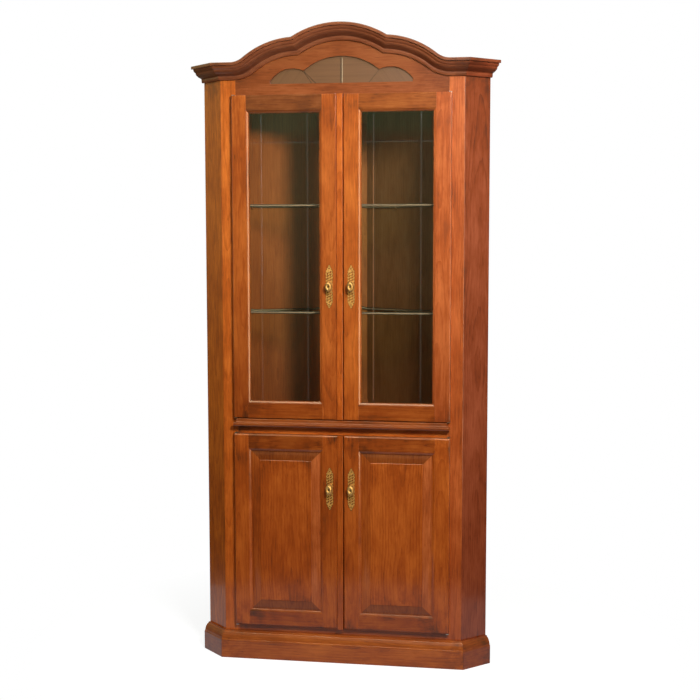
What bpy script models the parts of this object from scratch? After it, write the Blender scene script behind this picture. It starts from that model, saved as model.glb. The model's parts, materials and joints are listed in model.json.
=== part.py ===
"""Corner hutch in cherry: glazed doors above, raised-panel doors below, arched crown on top.

The plan is a square corner with its two front corners canted at 45 degrees. +Z is up, the front
faces -Y, and the origin is at the middle of the object's box on the floor.
"""
import math

import bmesh
import bpy
from mathutils import Matrix

# Driving sizes, in metres.
# Plan of the case.
front_width = 0.812
return_run = 0.077
corner_strip_width = 0.090
frame_thickness = 0.019
back_thickness = 0.012
stile_width = 0.0505

# Heights, stacked from the floor up.
bottom_rail_height = 0.128
lower_opening_height = 0.642
middle_rail_height = 0.072
upper_opening_height = 1.056
frieze_height = 0.0617
crown_height = 0.053
arch_rise = 0.1213

# Crown moulding and its arch.
crown_projection = 0.0503
crown_centre_radius = 0.300
crown_lobe_radius = 0.286
crown_lobe_offset = 0.141
crown_lobe_drop = 0.044
crown_foot_radius = 0.070
rail_below_crown_top = 0.012

# Fan window in the arched rail.
fan_band_width = 0.0493
fan_lobe_radius = 0.090
fan_lobe_offset = 0.163
fan_lobe_drop = 0.0375
fan_end_share = 0.82
fan_end_height = 0.0110
fan_rabbet_width = 0.007
fan_rabbet_depth = 0.0115
fan_glass_thickness = 0.004
fan_backing_thickness = 0.006

# Base and waist mouldings.
base_height = 0.093
base_board_height = 0.060
base_projection = 0.024
waist_height = 0.025
waist_projection = 0.031
waist_below_door = 0.003

# Horizontal boards and shelves.
board_thickness = 0.019
top_board_below_rim = 0.006
wall_rim_below_crown_top = 0.006
glass_shelf_thickness = 0.008
glass_shelf_rise = 0.343
glass_shelf_spacing = 0.358
wood_shelf_rise = 0.330
shelf_front_setback = 0.020
shelf_clearance = 0.003
pin_radius = 0.003
pin_length = 0.011
pin_inset_share = 0.5
pin_back_shares = (0.30, 0.72)

# Doors.
door_thickness = 0.019
door_overlay = 0.010
door_gap = 0.002
door_member_width = 0.0585
door_edge_radius = 0.004
sticking_width = 0.0085
sticking_depth = 0.0065
groove_setback = 0.008
groove_width = 0.005
groove_depth = 0.009
pane_thickness = 0.004
pane_play = 0.0005
panel_bevel_width = 0.0285
panel_bevel_lead = 0.002
panel_field_step = 0.0015
panel_field_setback = 0.0030
meeting_strip_width = 0.020
meeting_strip_proud = 0.004
meeting_strip_bead = 0.002
meeting_clearance = 0.0025

# Pivot hinges, one at each outer corner of each door.
pivot_from_edge = 0.005
pivot_from_back = 0.009
hinge_width = 0.009
hinge_plate_thickness = 0.002
hinge_plate_length = 0.040
hinge_leaf_length = 0.050
hinge_leaf_edge = 0.0005
hinge_ear_clearance = 0.0005
hinge_pin_radius = 0.002
hinge_pin_length = 0.013
hinge_pin_end_clearance = 0.001
hinge_bore_clearance = 0.0003
hinge_screw_radius = 0.0018
hinge_screw_shares = (0.35, 0.75)

# Knobs on their pierced plates.
handle_in_from_edge = 0.0253
upper_handle_rise = 0.444
lower_handle_drop = 0.180
plate_height = 0.145
plate_width = 0.026
plate_thickness = 0.0018
knob_width = 0.022
knob_height = 0.033
knob_projection = 0.025
knob_neck_radius = 0.0048
knob_bolt_radius = 0.0022
knob_bore_radius = 0.0027
knob_nut_radius = 0.0055
knob_nut_thickness = 0.0025
knob_head_shares = ((1.0, 0.30), (0.90, 0.66), (0.76, 0.92), (0.62, 1.0), (0.48, 0.88))
knob_neck_shares = ((0.36, 1.1), (0.10, 1.0), (0.0, 1.4))

# Small values shared by all pieces.
seat_gap = 0.0003
overrun = 0.005

# Worked out from the sizes above.
half_front = front_width / 2
slant = math.sqrt(0.5)
mitre = math.tan(math.radians(22.5))
wall_sum = half_front + 2 * return_run
half_strip = corner_strip_width / 2
back_from_face = wall_sum - half_strip
face_y = crown_projection - (crown_projection + back_from_face) / 2
stile_inner = half_front - stile_width

lower_opening_bottom = bottom_rail_height
lower_opening_top = lower_opening_bottom + lower_opening_height
upper_opening_bottom = lower_opening_top + middle_rail_height
upper_opening_top = upper_opening_bottom + upper_opening_height
crown_bottom = upper_opening_top + frieze_height
crown_flat_top = crown_bottom + crown_height
overall_height = crown_flat_top + arch_rise
wall_rim = crown_flat_top - wall_rim_below_crown_top

door_back = -door_gap
door_front = door_back - door_thickness
door_outer = stile_inner + door_overlay
meeting_half = (meeting_strip_width + meeting_clearance) / 2
pivot_x = door_outer - pivot_from_edge
pivot_y = door_back - pivot_from_back
waist_top = upper_opening_bottom - door_overlay - seat_gap
door_zones = {
    "upper": (waist_top + waist_below_door, upper_opening_top + door_overlay),
    "lower": (lower_opening_bottom - door_overlay, lower_opening_top + door_overlay),
}
sides = {"left": -1, "right": 1}


def clear_scene():
    for old in list(bpy.data.objects):
        bpy.data.objects.remove(old, do_unlink=True)


def material(name, colour, roughness, metallic=0.0, alpha=1.0):
    """A plain Principled material with the piece's colour."""
    made = bpy.data.materials.new(name)
    made.use_nodes = True
    shader = made.node_tree.nodes["Principled BSDF"]
    shader.inputs["Base Color"].default_value = (*colour, 1.0)
    shader.inputs["Roughness"].default_value = roughness
    shader.inputs["Metallic"].default_value = metallic
    shader.inputs["Alpha"].default_value = alpha
    return made


def finishes():
    return {
        "cherry": material("cherry", (0.42, 0.13, 0.045), 0.35),
        "cherry_dark": material("cherry_dark", (0.26, 0.075, 0.028), 0.38),
        "glass": material("glass", (0.62, 0.70, 0.66), 0.05, alpha=0.3),
        "fan_glass": material("fan_glass", (0.20, 0.14, 0.08), 0.15, alpha=0.8),
        "brass": material("brass", (0.62, 0.42, 0.16), 0.3, metallic=1.0),
        "steel": material("steel", (0.5, 0.48, 0.45), 0.35, metallic=1.0),
    }


def mesh_object(name, points, faces, finish, helper=False):
    """One object from points and faces, with its faces turned outwards."""
    mesh = bpy.data.meshes.new(name)
    mesh.from_pydata([tuple(p) for p in points], [], faces)
    work = bmesh.new()
    work.from_mesh(mesh)
    bmesh.ops.recalc_face_normals(work, faces=work.faces[:])
    work.to_mesh(mesh)
    work.free()
    made = bpy.data.objects.new(name, mesh)
    bpy.context.scene.collection.objects.link(made)
    if finish:
        mesh.materials.append(finish)
    if helper:
        made.hide_render = True
        made.display_type = "WIRE"
    return made


def joined(groups):
    """Several shells, each a pair of points and faces, as one pair."""
    points, faces = [], []
    for some_points, some_faces in groups:
        base = len(points)
        points += list(some_points)
        faces += [tuple(base + i for i in face) for face in some_faces]
    return points, faces


def loft(rings, closed=False):
    """Rings of equal length joined in order, capped at both ends unless closed on itself."""
    count = len(rings[0])
    points = [p for ring in rings for p in ring]
    faces = []
    spans = len(rings) if closed else len(rings) - 1
    for r in range(spans):
        a, b = r * count, ((r + 1) % len(rings)) * count
        faces += [(a + i, a + (i + 1) % count, b + (i + 1) % count, b + i) for i in range(count)]
    if not closed:
        faces += [tuple(range(count)), tuple(range(len(points) - count, len(points)))]
    return points, faces


def upright(outline, low, high):
    """A plan outline, a list of (x, y) measured from the face plane, raised from low to high."""
    return loft([[(x, face_y + y, z) for x, y in outline] for z in (low, high)])


def facing(outline, front, back):
    """A front outline, a list of (x, z), carried back from front to back."""
    return loft([[(x, face_y + y, z) for x, z in outline] for y in (front, back)])


def block(x0, x1, y0, y1, z0, z1):
    return upright([(x0, y0), (x1, y0), (x1, y1), (x0, y1)], z0, z1)


def mirrored(outline, side):
    """The outline of the right-hand piece, turned over for the left-hand one."""
    return [(side * x, y) for x, y in outline]


def rod(start, direction, radius, length, sides_round=12):
    """A round bar from start along a direction that lies in the floor plane or is upright."""
    dx, dy, dz = direction
    across = (0.0, 0.0, 1.0) if dz == 0 else (1.0, 0.0, 0.0)
    up = (dy * across[2] - dz * across[1], dz * across[0] - dx * across[2], dx * across[1] - dy * across[0])
    rings = []
    for far in (0.0, length):
        ring = []
        for k in range(sides_round):
            turn = 2 * math.pi * k / sides_round
            c, s = radius * math.cos(turn), radius * math.sin(turn)
            ring.append([start[i] + far * direction[i] + c * across[i] + s * up[i] for i in range(3)])
        rings.append(ring)
    return loft(rings)


def boolean(target, groups, operation, label):
    """Cuts the shells out of the target, or joins them to it."""
    helper = mesh_object(f"{target.name}_{label}_helper", *joined(groups), None, helper=True)
    change = target.modifiers.new(label, "BOOLEAN")
    change.operation = operation
    change.solver = "EXACT"
    change.use_self = len(groups) > 1
    change.object = helper


def arc(centre, radius, start, end, steps):
    """Points of an arc from one angle to another, in radians."""
    return [
        (centre[0] + radius * math.cos(start + (end - start) * k / steps),
         centre[1] + radius * math.sin(start + (end - start) * k / steps))
        for k in range(steps + 1)
    ]


def circles_meet(first, second):
    """The upper meeting point of two circles, each (x, z, radius), with the first on the left."""
    (ax, az, ar), (bx, bz, br) = first, second
    apart = math.hypot(bx - ax, bz - az)
    along = (apart ** 2 + ar ** 2 - br ** 2) / (2 * apart)
    off = math.sqrt(ar ** 2 - along ** 2)
    ux, uz = (bx - ax) / apart, (bz - az) / apart
    low = (ax + along * ux - off * uz, az + along * uz + off * ux)
    high = (ax + along * ux + off * uz, az + along * uz - off * ux)
    return max(low, high, key=lambda p: p[1])


def arch_half(above, centre_steps=9, lobe_steps=7, foot_steps=5):
    """The right half of the crown's line, at a distance above its lower edge, from the middle outwards.

    It is an arc on the middle line, a second arc beside it, a hollow arc at its foot, and the flat
    run that starts where the hollow arc ends.
    """
    shrink = crown_height - above
    centre = (0.0, overall_height - crown_centre_radius, crown_centre_radius - shrink)
    lobe_z = overall_height - crown_lobe_drop - crown_lobe_radius
    lobe = (crown_lobe_offset, lobe_z, crown_lobe_radius - shrink)
    foot_z = crown_flat_top + crown_foot_radius
    foot_x = lobe[0] + math.sqrt((crown_lobe_radius + crown_foot_radius) ** 2 - (foot_z - lobe_z) ** 2)
    cusp = circles_meet(centre, lobe)
    turn_cusp = math.atan2(cusp[1] - centre[1], cusp[0])
    turn_from = math.atan2(cusp[1] - lobe[1], cusp[0] - lobe[0])
    turn_to = math.atan2(foot_z - lobe_z, foot_x - lobe[0])
    line = arc(centre[:2], centre[2], math.pi / 2, turn_cusp, centre_steps)
    line = line[:-1] + arc(lobe[:2], lobe[2], turn_from, turn_to, lobe_steps)
    foot = arc((foot_x, foot_z), crown_foot_radius + shrink, turn_to - math.pi, -math.pi / 2, foot_steps)
    return line[:-1] + foot


def cut_short(line, end):
    """A line of (x, z) points that run outwards, cut off at an x with a point of its own."""
    kept = [p for p in line if p[0] < end]
    if len(kept) == len(line):
        return kept + [(end, line[-1][1])]
    (x0, z0), (x1, z1) = kept[-1], line[len(kept)]
    return kept + [(end, z0 + (z1 - z0) * (end - x0) / (x1 - x0))]


def fan_half(grow, centre_steps=10, lobe_steps=8):
    """The right half of the fan window's edge, grown outwards, from the middle of its arch to its end."""
    peak = overall_height - crown_height - fan_band_width
    reach = crown_centre_radius - crown_height - fan_band_width
    centre = (0.0, peak - reach, reach + grow)
    lobe = (fan_lobe_offset, peak - fan_lobe_drop - fan_lobe_radius, fan_lobe_radius + grow)
    cusp = circles_meet(centre, lobe)
    end_x = fan_lobe_offset + fan_end_share * fan_lobe_radius
    end_z = lobe[1] + math.sqrt(fan_lobe_radius ** 2 - (end_x - lobe[0]) ** 2)
    tip_x = end_x + grow
    tip_z = lobe[1] + math.sqrt(lobe[2] ** 2 - (tip_x - lobe[0]) ** 2)
    line = arc(centre[:2], centre[2], math.pi / 2, math.atan2(cusp[1] - centre[1], cusp[0]), centre_steps)
    turn_from = math.atan2(cusp[1] - lobe[1], cusp[0] - lobe[0])
    turn_to = math.atan2(tip_z - lobe[1], tip_x - lobe[0])
    line = line[:-1] + arc(lobe[:2], lobe[2], turn_from, turn_to, lobe_steps)
    return line + [(tip_x, end_z - fan_end_height - grow)]


def both_halves(half):
    """A closed outline from its right half, whose first point is on the middle line."""
    return half + [(-x, z) for x, z in reversed(half[1:])]


# Plan geometry of the right-hand side; the left-hand side is its mirror.
def along_return(distance, inward=0.0):
    """A point on the canted return, at a distance from the face corner and inwards from its outer face."""
    return (half_front + (distance - inward) * slant, (distance + inward) * slant)


return_width = return_run / slant
wall_end = along_return(return_width)


def along_wall(distance, inward=0.0):
    """A point on the wall plane, at a distance from the return's end towards the back corner."""
    return (wall_end[0] - (distance + inward) * slant, wall_end[1] + (distance - inward) * slant)


wall_width = (wall_end[0] - half_strip) / slant


def inside_outline(clear, front):
    """The plan of a board inside the walls, clear of them, with its front edge at a depth."""
    inset = frame_thickness + clear
    front_x = half_front - 2 * inset * slant + front
    wing = along_wall(inset, back_thickness + clear)
    back = back_from_face - back_thickness - clear
    back_x = half_strip - (back_thickness + clear) * mitre
    half = [(front_x, front), wing, (back_x, back)]
    return half + [(-x, y) for x, y in reversed(half)]


def build_walls(finish):
    """The two stiles, two returns, two backs and the corner strip between them."""
    mitre_in = frame_thickness * mitre
    shelf_bottoms = [
        upper_opening_bottom + glass_shelf_rise,
        upper_opening_bottom + glass_shelf_rise + glass_shelf_spacing,
        lower_opening_bottom + wood_shelf_rise,
    ]
    pin_heights = [z - seat_gap - pin_radius for z in shelf_bottoms]
    for name, side in sides.items():
        stile = [(stile_inner, 0.0), (half_front, 0.0), (half_front - mitre_in, frame_thickness),
                 (stile_inner, frame_thickness)]
        made = mesh_object(f"stile_{name}", *upright(mirrored(stile, side), 0.0, wall_rim), finish["cherry"])
        boolean(made, hinge_mortises(side), "DIFFERENCE", "mortises")

        inner_start = frame_thickness * mitre + seat_gap
        panel = [along_return(seat_gap), along_return(return_width),
                 along_return(return_width, frame_thickness), along_return(inner_start, frame_thickness)]
        made = mesh_object(f"return_{name}", *upright(mirrored(panel, side), 0.0, wall_rim), finish["cherry"])
        seat = along_return(return_width * pin_inset_share, frame_thickness)
        pins = wall_pins([seat], (-slant, slant), side, pin_heights)
        boolean(made, pins, "UNION", "shelf_pins")

        start = frame_thickness + seat_gap
        end = wall_width - seat_gap
        inner_end = end - back_thickness * mitre
        panel = [along_wall(start), along_wall(end), along_wall(inner_end, back_thickness),
                 along_wall(start, back_thickness)]
        shape = upright(mirrored(panel, side), 0.0, wall_rim)
        made = mesh_object(f"back_{name}", *shape, finish["cherry_dark"])
        seats = [along_wall(start + share * (end - start), back_thickness) for share in pin_back_shares]
        boolean(made, wall_pins(seats, (-slant, -slant), side, pin_heights), "UNION", "shelf_pins")

    strip_in = back_thickness * mitre
    strip = [(-half_strip, back_from_face), (half_strip, back_from_face),
             (half_strip - strip_in, back_from_face - back_thickness),
             (strip_in - half_strip, back_from_face - back_thickness)]
    made = mesh_object("corner_strip", *upright(strip, 0.0, wall_rim), finish["cherry_dark"])
    pins = wall_pins([(0.0, back_from_face - back_thickness)], (0.0, -1.0), 1, pin_heights)
    boolean(made, pins, "UNION", "shelf_pins")


def wall_pins(seats, direction, side, heights):
    """Shelf pins that stand out of a wall's inner face, sunk into it by the overrun."""
    pins = []
    for x, y in seats:
        for z in heights:
            start = (side * (x - overrun * direction[0]), face_y + y - overrun * direction[1], z)
            pins.append(rod(start, (side * direction[0], direction[1], 0.0), pin_radius, pin_length + overrun))
    return pins


def hinge_mortises(side):
    """The four shallow recesses in a stile's face that the hinge plates are let into."""
    cuts = []
    for low, high in door_zones.values():
        for at, way in ((low, -1), (high, 1)):
            reach = hinge_ear_clearance + hinge_plate_thickness
            ends = sorted((at + way * (reach + seat_gap), at - way * (hinge_plate_length + seat_gap)))
            wide = hinge_width / 2 + seat_gap
            xs = sorted((side * (pivot_x - wide), side * (pivot_x + wide)))
            cuts.append(block(*xs, -overrun, hinge_plate_thickness + seat_gap, *ends))
    return cuts


def build_rails(finish):
    """The bottom and middle rails, and the arched rail with its fan window."""
    end = stile_inner - seat_gap
    for name, low, high in (("bottom_rail", 0.0, lower_opening_bottom),
                            ("middle_rail", lower_opening_top, upper_opening_bottom)):
        mesh_object(name, *block(-end, end, 0.0, frame_thickness, low, high), finish["cherry"])
    half = cut_short(arch_half(crown_height - rail_below_crown_top), end)
    outline = both_halves(half + [(end, upper_opening_top)])
    made = mesh_object("arched_rail", *facing(outline, 0.0, frame_thickness), finish["cherry"])
    window = facing(both_halves(fan_half(0.0)), -overrun, frame_thickness + overrun)
    boolean(made, [window], "DIFFERENCE", "fan_window")
    rabbet = facing(both_halves(fan_half(fan_rabbet_width)), frame_thickness - fan_rabbet_depth,
                    frame_thickness + overrun)
    boolean(made, [rabbet], "DIFFERENCE", "fan_rabbet")


def build_fan(finish):
    """The fan window's glass and the wooden backing behind it, both let into the arched rail."""
    outline = both_halves(fan_half(fan_rabbet_width - seat_gap))
    glass = frame_thickness - fan_rabbet_depth + seat_gap
    backing = glass + fan_glass_thickness + seat_gap
    mesh_object("fan_glass", *facing(outline, glass, glass + fan_glass_thickness), finish["fan_glass"])
    shape = facing(outline, backing, backing + fan_backing_thickness)
    mesh_object("fan_backing", *shape, finish["cherry_dark"])


def build_boards(finish):
    """The top, the floor of the display part, the floor of the cupboard, and three shelves."""
    inside = inside_outline(seat_gap, frame_thickness + seat_gap)
    tops = {
        "top_board": wall_rim - top_board_below_rim,
        "middle_deck": upper_opening_bottom,
        "bottom_board": lower_opening_bottom,
    }
    for name, high in tops.items():
        mesh_object(name, *upright(inside, high - board_thickness, high), finish["cherry_dark"])
    loose = inside_outline(shelf_clearance, frame_thickness + shelf_front_setback)
    first = upper_opening_bottom + glass_shelf_rise
    for name, low in (("lower_glass_shelf", first), ("upper_glass_shelf", first + glass_shelf_spacing)):
        mesh_object(name, *upright(loose, low, low + glass_shelf_thickness), finish["glass"])
    low = lower_opening_bottom + wood_shelf_rise
    mesh_object("cupboard_shelf", *upright(loose, low, low + board_thickness), finish["cherry_dark"])


def crown_profile():
    """The crown's section as (projection, height above its lower edge), shares of its own sizes."""
    shares = ((0.0, 0.0), (0.17, 0.0), (0.19, 0.06), (0.21, 0.15), (0.20, 0.22), (0.24, 0.26), (0.34, 0.30),
              (0.46, 0.36), (0.54, 0.42), (0.59, 0.44), (0.63, 0.50), (0.65, 0.56), (0.66, 0.59), (0.72, 0.63),
              (0.77, 0.66), (0.81, 0.71), (0.83, 0.78), (0.83, 0.81), (1.0, 0.81), (1.0, 0.97), (0.97, 1.0),
              (0.0, 1.0))
    return [(seat_gap + p * (crown_projection - seat_gap), h * crown_height) for p, h in shares]


def base_profile():
    """The base board with its moulded cap, as (projection, height)."""
    cap = base_height - base_board_height
    cap_shares = ((0.98, 0.10), (0.90, 0.13), (0.88, 0.25), (0.76, 0.55), (0.52, 0.80), (0.28, 0.92),
                  (0.28, 1.0))
    rows = [(seat_gap, 0.0), (base_projection, 0.0), (base_projection, base_board_height)]
    rows += [(p * base_projection, base_board_height + h * cap) for p, h in cap_shares]
    return rows + [(seat_gap, base_height)]


def front_run(profile, line_of):
    """A moulding across the front: line_of gives its right half at a height, its ends are mitred."""
    rings = []
    halves = [line_of(h) for _, h in profile]
    for k in range(len(halves[0])):
        rings.append([(half[k][0], face_y - p, half[k][1]) for (p, _), half in zip(profile, halves)])
    rings.append([(half_front + p * mitre - seat_gap, face_y - p, half[-1][1])
                  for (p, _), half in zip(profile, halves)])
    left = [[(-x, y, z) for x, y, z in ring] for ring in reversed(rings[1:])]
    return loft(left + rings)


def return_run_of(profile, base, side):
    """A moulding along the right-hand return, mitred to the front run and cut off at the wall."""
    rings = []
    for at_wall in (False, True):
        ring = []
        for p, h in profile:
            far = return_width if at_wall else seat_gap - p * mitre
            x, y = along_return(far, -p)
            ring.append((side * x, face_y + y, base + h))
        rings.append(ring)
    return loft(rings)


def build_mouldings(finish):
    """The crown and the base, each in three runs, and the waist moulding between the doors."""
    crown = crown_profile()
    mesh_object("crown_front", *front_run(crown, arch_half), finish["cherry"])
    base = base_profile()
    mesh_object("base_front", *front_run(base, lambda h: [(0.0, h)]), finish["cherry"])
    for name, side in sides.items():
        mesh_object(f"crown_{name}", *return_run_of(crown, crown_bottom, side), finish["cherry"])
        mesh_object(f"base_{name}", *return_run_of(base, 0.0, side), finish["cherry"])
    shares = ((0.70, 0.0), (0.72, 0.22), (0.80, 0.42), (0.94, 0.56), (1.0, 0.70), (0.98, 0.86), (0.86, 1.0))
    rows = [(-seat_gap, waist_top)]
    rows += [(-p * waist_projection, waist_top - h * waist_height) for p, h in shares]
    rows += [(-seat_gap, waist_top - waist_height)]
    ends = (-door_outer, door_outer)
    rings = [[(x, face_y + y, z) for y, z in rows] for x in ends]
    mesh_object("waist_moulding", *loft(rings), finish["cherry"])


def rounded(radius, angles):
    """A quarter round from an edge to a face: distances in from the edge and down from the face."""
    turns = [math.radians(a) for a in angles]
    return [(radius - radius * math.cos(t), radius - radius * math.sin(t)) for t in turns]


def frame_section():
    """Half of a door frame's section: (distance in from the door's edge, depth behind the face plane)."""
    rows = [(0.0, door_back)]
    rows += [(u, door_front + v) for u, v in rounded(door_edge_radius, (0, 30, 60, 90))]
    flat = door_member_width - sticking_width
    step_shares = ((0.0, 0.0), (0.10, 0.20), (0.42, 0.36), (0.72, 0.62), (0.88, 0.86), (1.0, 1.0))
    rows += [(flat + u * sticking_width, door_front + v * sticking_depth) for u, v in step_shares]
    front = door_front + groove_setback
    bottom = door_member_width - groove_depth
    rows += [(door_member_width, front), (bottom, front), (bottom, front + groove_width),
             (door_member_width, front + groove_width), (door_member_width, door_back)]
    return rows


def door_ring(x0, x1, z0, z1, inset, depth):
    """A rectangle drawn in from the door's edges, at a depth behind the face plane."""
    y = face_y + depth
    return [(x0 + inset, y, z0 + inset), (x1 - inset, y, z0 + inset),
            (x1 - inset, y, z1 - inset), (x0 + inset, y, z1 - inset)]


def hang(name, pieces, x, y, z):
    """Parents a door's pieces to an empty on its pivot axis, and leaves them where they are."""
    pivot = bpy.data.objects.new(name, None)
    pivot.location = (x, y, z)
    bpy.context.scene.collection.objects.link(pivot)
    for piece in pieces:
        piece.parent = pivot
        piece.matrix_parent_inverse = Matrix.Translation((-x, -y, -z))


def build_door(level, name, side, finish):
    """One door: its frame, what fills it, its knob and plate, and its two hinges' leaves."""
    low, high = door_zones[level]
    x0, x1 = sorted((side * meeting_half, side * door_outer))
    rings = [door_ring(x0, x1, low, high, u, v) for u, v in frame_section()]
    frame = mesh_object(f"{level}_door_{name}_frame", *loft(rings, closed=True), finish["cherry"])
    handle_x = side * (meeting_half + handle_in_from_edge)
    handle_z = low + upper_handle_rise if level == "upper" else high - lower_handle_drop
    cuts = [rod((handle_x, face_y + door_front - overrun, handle_z), (0.0, 1.0, 0.0),
                knob_bore_radius, door_thickness + 2 * overrun)]
    for at, way in ((low, -1), (high, 1)):
        cuts += hinge_cuts(side, at, way)
    boolean(frame, cuts, "DIFFERENCE", "fittings")

    inset = door_member_width - groove_depth + seat_gap
    front = door_front + groove_setback + pane_play
    back = front + pane_thickness
    if level == "upper":
        rings = [door_ring(x0, x1, low, high, inset, y) for y in (front, back)]
        infill = mesh_object(f"upper_door_{name}_glass", *loft(rings), finish["glass"])
    else:
        bevel = door_member_width + panel_bevel_lead
        field = bevel + panel_bevel_width
        top = door_front + panel_field_setback
        rings = [door_ring(x0, x1, low, high, u, v) for u, v in (
            (inset, back), (inset, front), (bevel, front),
            (field, top + panel_field_step), (field, top))]
        infill = mesh_object(f"lower_door_{name}_panel", *loft(rings), finish["cherry"])

    pieces = [frame, infill, *build_handle(f"{level}_door_{name}", handle_x, handle_z, finish)]
    for place, at, way in (("bottom", low, -1), ("top", high, 1)):
        pieces.append(build_hinge(f"{level}_door_{name}_{place}", side, at, way, finish))
    if side < 0:
        pieces.append(build_meeting_strip(level, low, high, finish))
    hang(f"{level}_door_{name}_pivot", pieces, side * pivot_x, face_y + pivot_y, low)


def build_meeting_strip(level, low, high, finish):
    """The strip on the left door's free edge that covers the gap between the doors, its front beaded."""
    x0 = seat_gap - meeting_half
    x1 = x0 + meeting_strip_width - seat_gap
    front = door_front - meeting_strip_proud
    bead = rounded(meeting_strip_bead, (0, 30, 60, 90))
    outline = [(x0, door_back)] + [(x0 + u, front + v) for u, v in bead]
    outline += [(x1 - u, front + v) for u, v in reversed(bead)] + [(x1, door_back)]
    return mesh_object(f"{level}_meeting_strip", *upright(outline, low, high), finish["cherry"])


def hinge_cuts(side, at, way):
    """The recess in a door's end for the hinge leaf, and the bore for its pin."""
    deep = hinge_plate_thickness + seat_gap
    xs = sorted((side * (door_outer - hinge_leaf_edge + overrun),
                 side * (door_outer - hinge_leaf_length - seat_gap)))
    zs = sorted((at + way * overrun, at - way * deep))
    wide = hinge_width / 2 + seat_gap
    recess = block(*xs, pivot_y - wide, pivot_y + wide, *zs)
    radius = hinge_pin_radius + hinge_bore_clearance
    bore = rod((side * pivot_x, face_y + pivot_y, at + way * overrun), (0.0, 0.0, -way), radius,
               hinge_pin_length + overrun + seat_gap)
    return [recess, bore]


def build_hinge(name, side, at, way, finish):
    """A pivot hinge: a plate with a pin on the stile, and a leaf in the door's end, which is returned."""
    wide = hinge_width / 2
    xs = sorted((side * (door_outer - hinge_leaf_edge), side * (door_outer - hinge_leaf_length)))
    zs = sorted((at, at - way * hinge_plate_thickness))
    leaf = mesh_object(f"{name}_hinge_leaf", *block(*xs, pivot_y - wide, pivot_y + wide, *zs), finish["steel"])
    holes = [(pivot_x, hinge_pin_radius + hinge_bore_clearance)]
    holes += [(door_outer - hinge_leaf_length * share, hinge_screw_radius) for share in hinge_screw_shares]
    cuts = [rod((side * x, face_y + pivot_y, at + way * overrun), (0.0, 0.0, -way), radius, 2 * overrun)
            for x, radius in holes]
    boolean(leaf, cuts, "DIFFERENCE", "holes")

    ear_near = at + way * hinge_ear_clearance
    ear_far = ear_near + way * hinge_plate_thickness
    tail = at - way * hinge_plate_length
    back = hinge_plate_thickness
    outline = [(tail, back), (ear_far, back), (ear_far, pivot_y - wide), (ear_near, pivot_y - wide),
               (ear_near, 0.0), (tail, 0.0)]
    rings = [[(side * x, face_y + y, z) for z, y in outline] for x in (pivot_x - wide, pivot_x + wide)]
    bracket = mesh_object(f"{name}_hinge_bracket", *loft(rings), finish["steel"])
    middle = (ear_near + ear_far) / 2
    pin = rod((side * pivot_x, face_y + pivot_y, middle), (0.0, 0.0, -way), hinge_pin_radius,
              abs(middle - at) + hinge_pin_length - hinge_pin_end_clearance)
    boolean(bracket, [pin], "UNION", "pin")
    screws = [rod((side * pivot_x, face_y - overrun, at - way * hinge_plate_length * share), (0.0, 1.0, 0.0),
                  hinge_screw_radius, 2 * overrun) for share in hinge_screw_shares]
    boolean(bracket, screws, "DIFFERENCE", "screw_holes")
    return leaf


def plate_outline():
    """The back plate's edge as shares of its half width and half height: a pointed end, then scallops."""
    quarter_shares = ((0.0, 1.0), (0.22, 0.93), (0.36, 0.84), (0.50, 0.80), (0.62, 0.72), (0.70, 0.64),
                      (0.98, 0.56), (0.80, 0.46), (0.98, 0.36), (0.78, 0.27), (0.92, 0.17), (0.74, 0.08),
                      (0.86, 0.0))
    quarter = [(x * plate_width / 2, z * plate_height / 2) for x, z in quarter_shares]
    right = quarter + [(x, -z) for x, z in reversed(quarter[:-1])]
    return right + [(-x, z) for x, z in reversed(right[1:-1])]


def build_handle(name, x, z, finish):
    """A pierced brass plate on the door's face, and an oval knob whose bolt goes through the door."""
    front = door_front - seat_gap - plate_thickness
    outline = [(x + dx, z + dz) for dx, dz in plate_outline()]
    plate = mesh_object(f"{name}_plate", *facing(outline, front, door_front - seat_gap), finish["brass"])
    hole_shares = ((0.0, 0.82, 0.14), (0.0, 0.63, 0.20), (0.42, 0.51, 0.16), (-0.42, 0.51, 0.16),
                   (0.0, 0.42, 0.20), (0.42, 0.31, 0.15), (-0.42, 0.31, 0.15))
    holes = [(0.0, 0.0, knob_bore_radius)]
    for across, up, radius in hole_shares:
        for way in (1, -1):
            holes.append((across * plate_width / 2, way * up * plate_height / 2, radius * plate_width / 2))
    cuts = [rod((x + dx, face_y + front - overrun, z + dz), (0.0, 1.0, 0.0), r, 2 * overrun, 8)
            for dx, dz, r in holes]
    boolean(plate, cuts, "DIFFERENCE", "piercings")

    base = front - seat_gap
    back = door_back + seat_gap
    rows = [(base - far * knob_projection, wide * knob_width / 2, wide * knob_height / 2)
            for far, wide in knob_head_shares]
    rows += [(base - far * knob_projection, wide * knob_neck_radius, wide * knob_neck_radius)
             for far, wide in knob_neck_shares]
    rows += [(y, radius, radius) for y, radius in (
        (base, knob_bolt_radius), (back, knob_bolt_radius), (back, knob_nut_radius),
        (back + knob_nut_thickness, knob_nut_radius))]
    turns = [2 * math.pi * k / 16 for k in range(16)]
    rings = [[(x + wide * math.cos(t), face_y + y, z + tall * math.sin(t)) for t in turns]
             for y, wide, tall in rows]
    knob = mesh_object(f"{name}_knob", *loft(rings), finish["brass"])
    return plate, knob


def main():
    clear_scene()
    finish = finishes()
    build_walls(finish)
    build_rails(finish)
    build_fan(finish)
    build_boards(finish)
    build_mouldings(finish)
    for level in door_zones:
        for name, side in sides.items():
            build_door(level, name, side, finish)


main()
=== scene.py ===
"""Looks for a corner hutch: lacquered cherry, V-grooved panes, an etched fan light and pierced brass handles.

The file is laid out as an add-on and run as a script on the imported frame. Lengths are in metres, +Z is
up, the front faces -Y, and "depth" is a distance behind the face of the case's front frame.
"""
import json
import math

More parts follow.
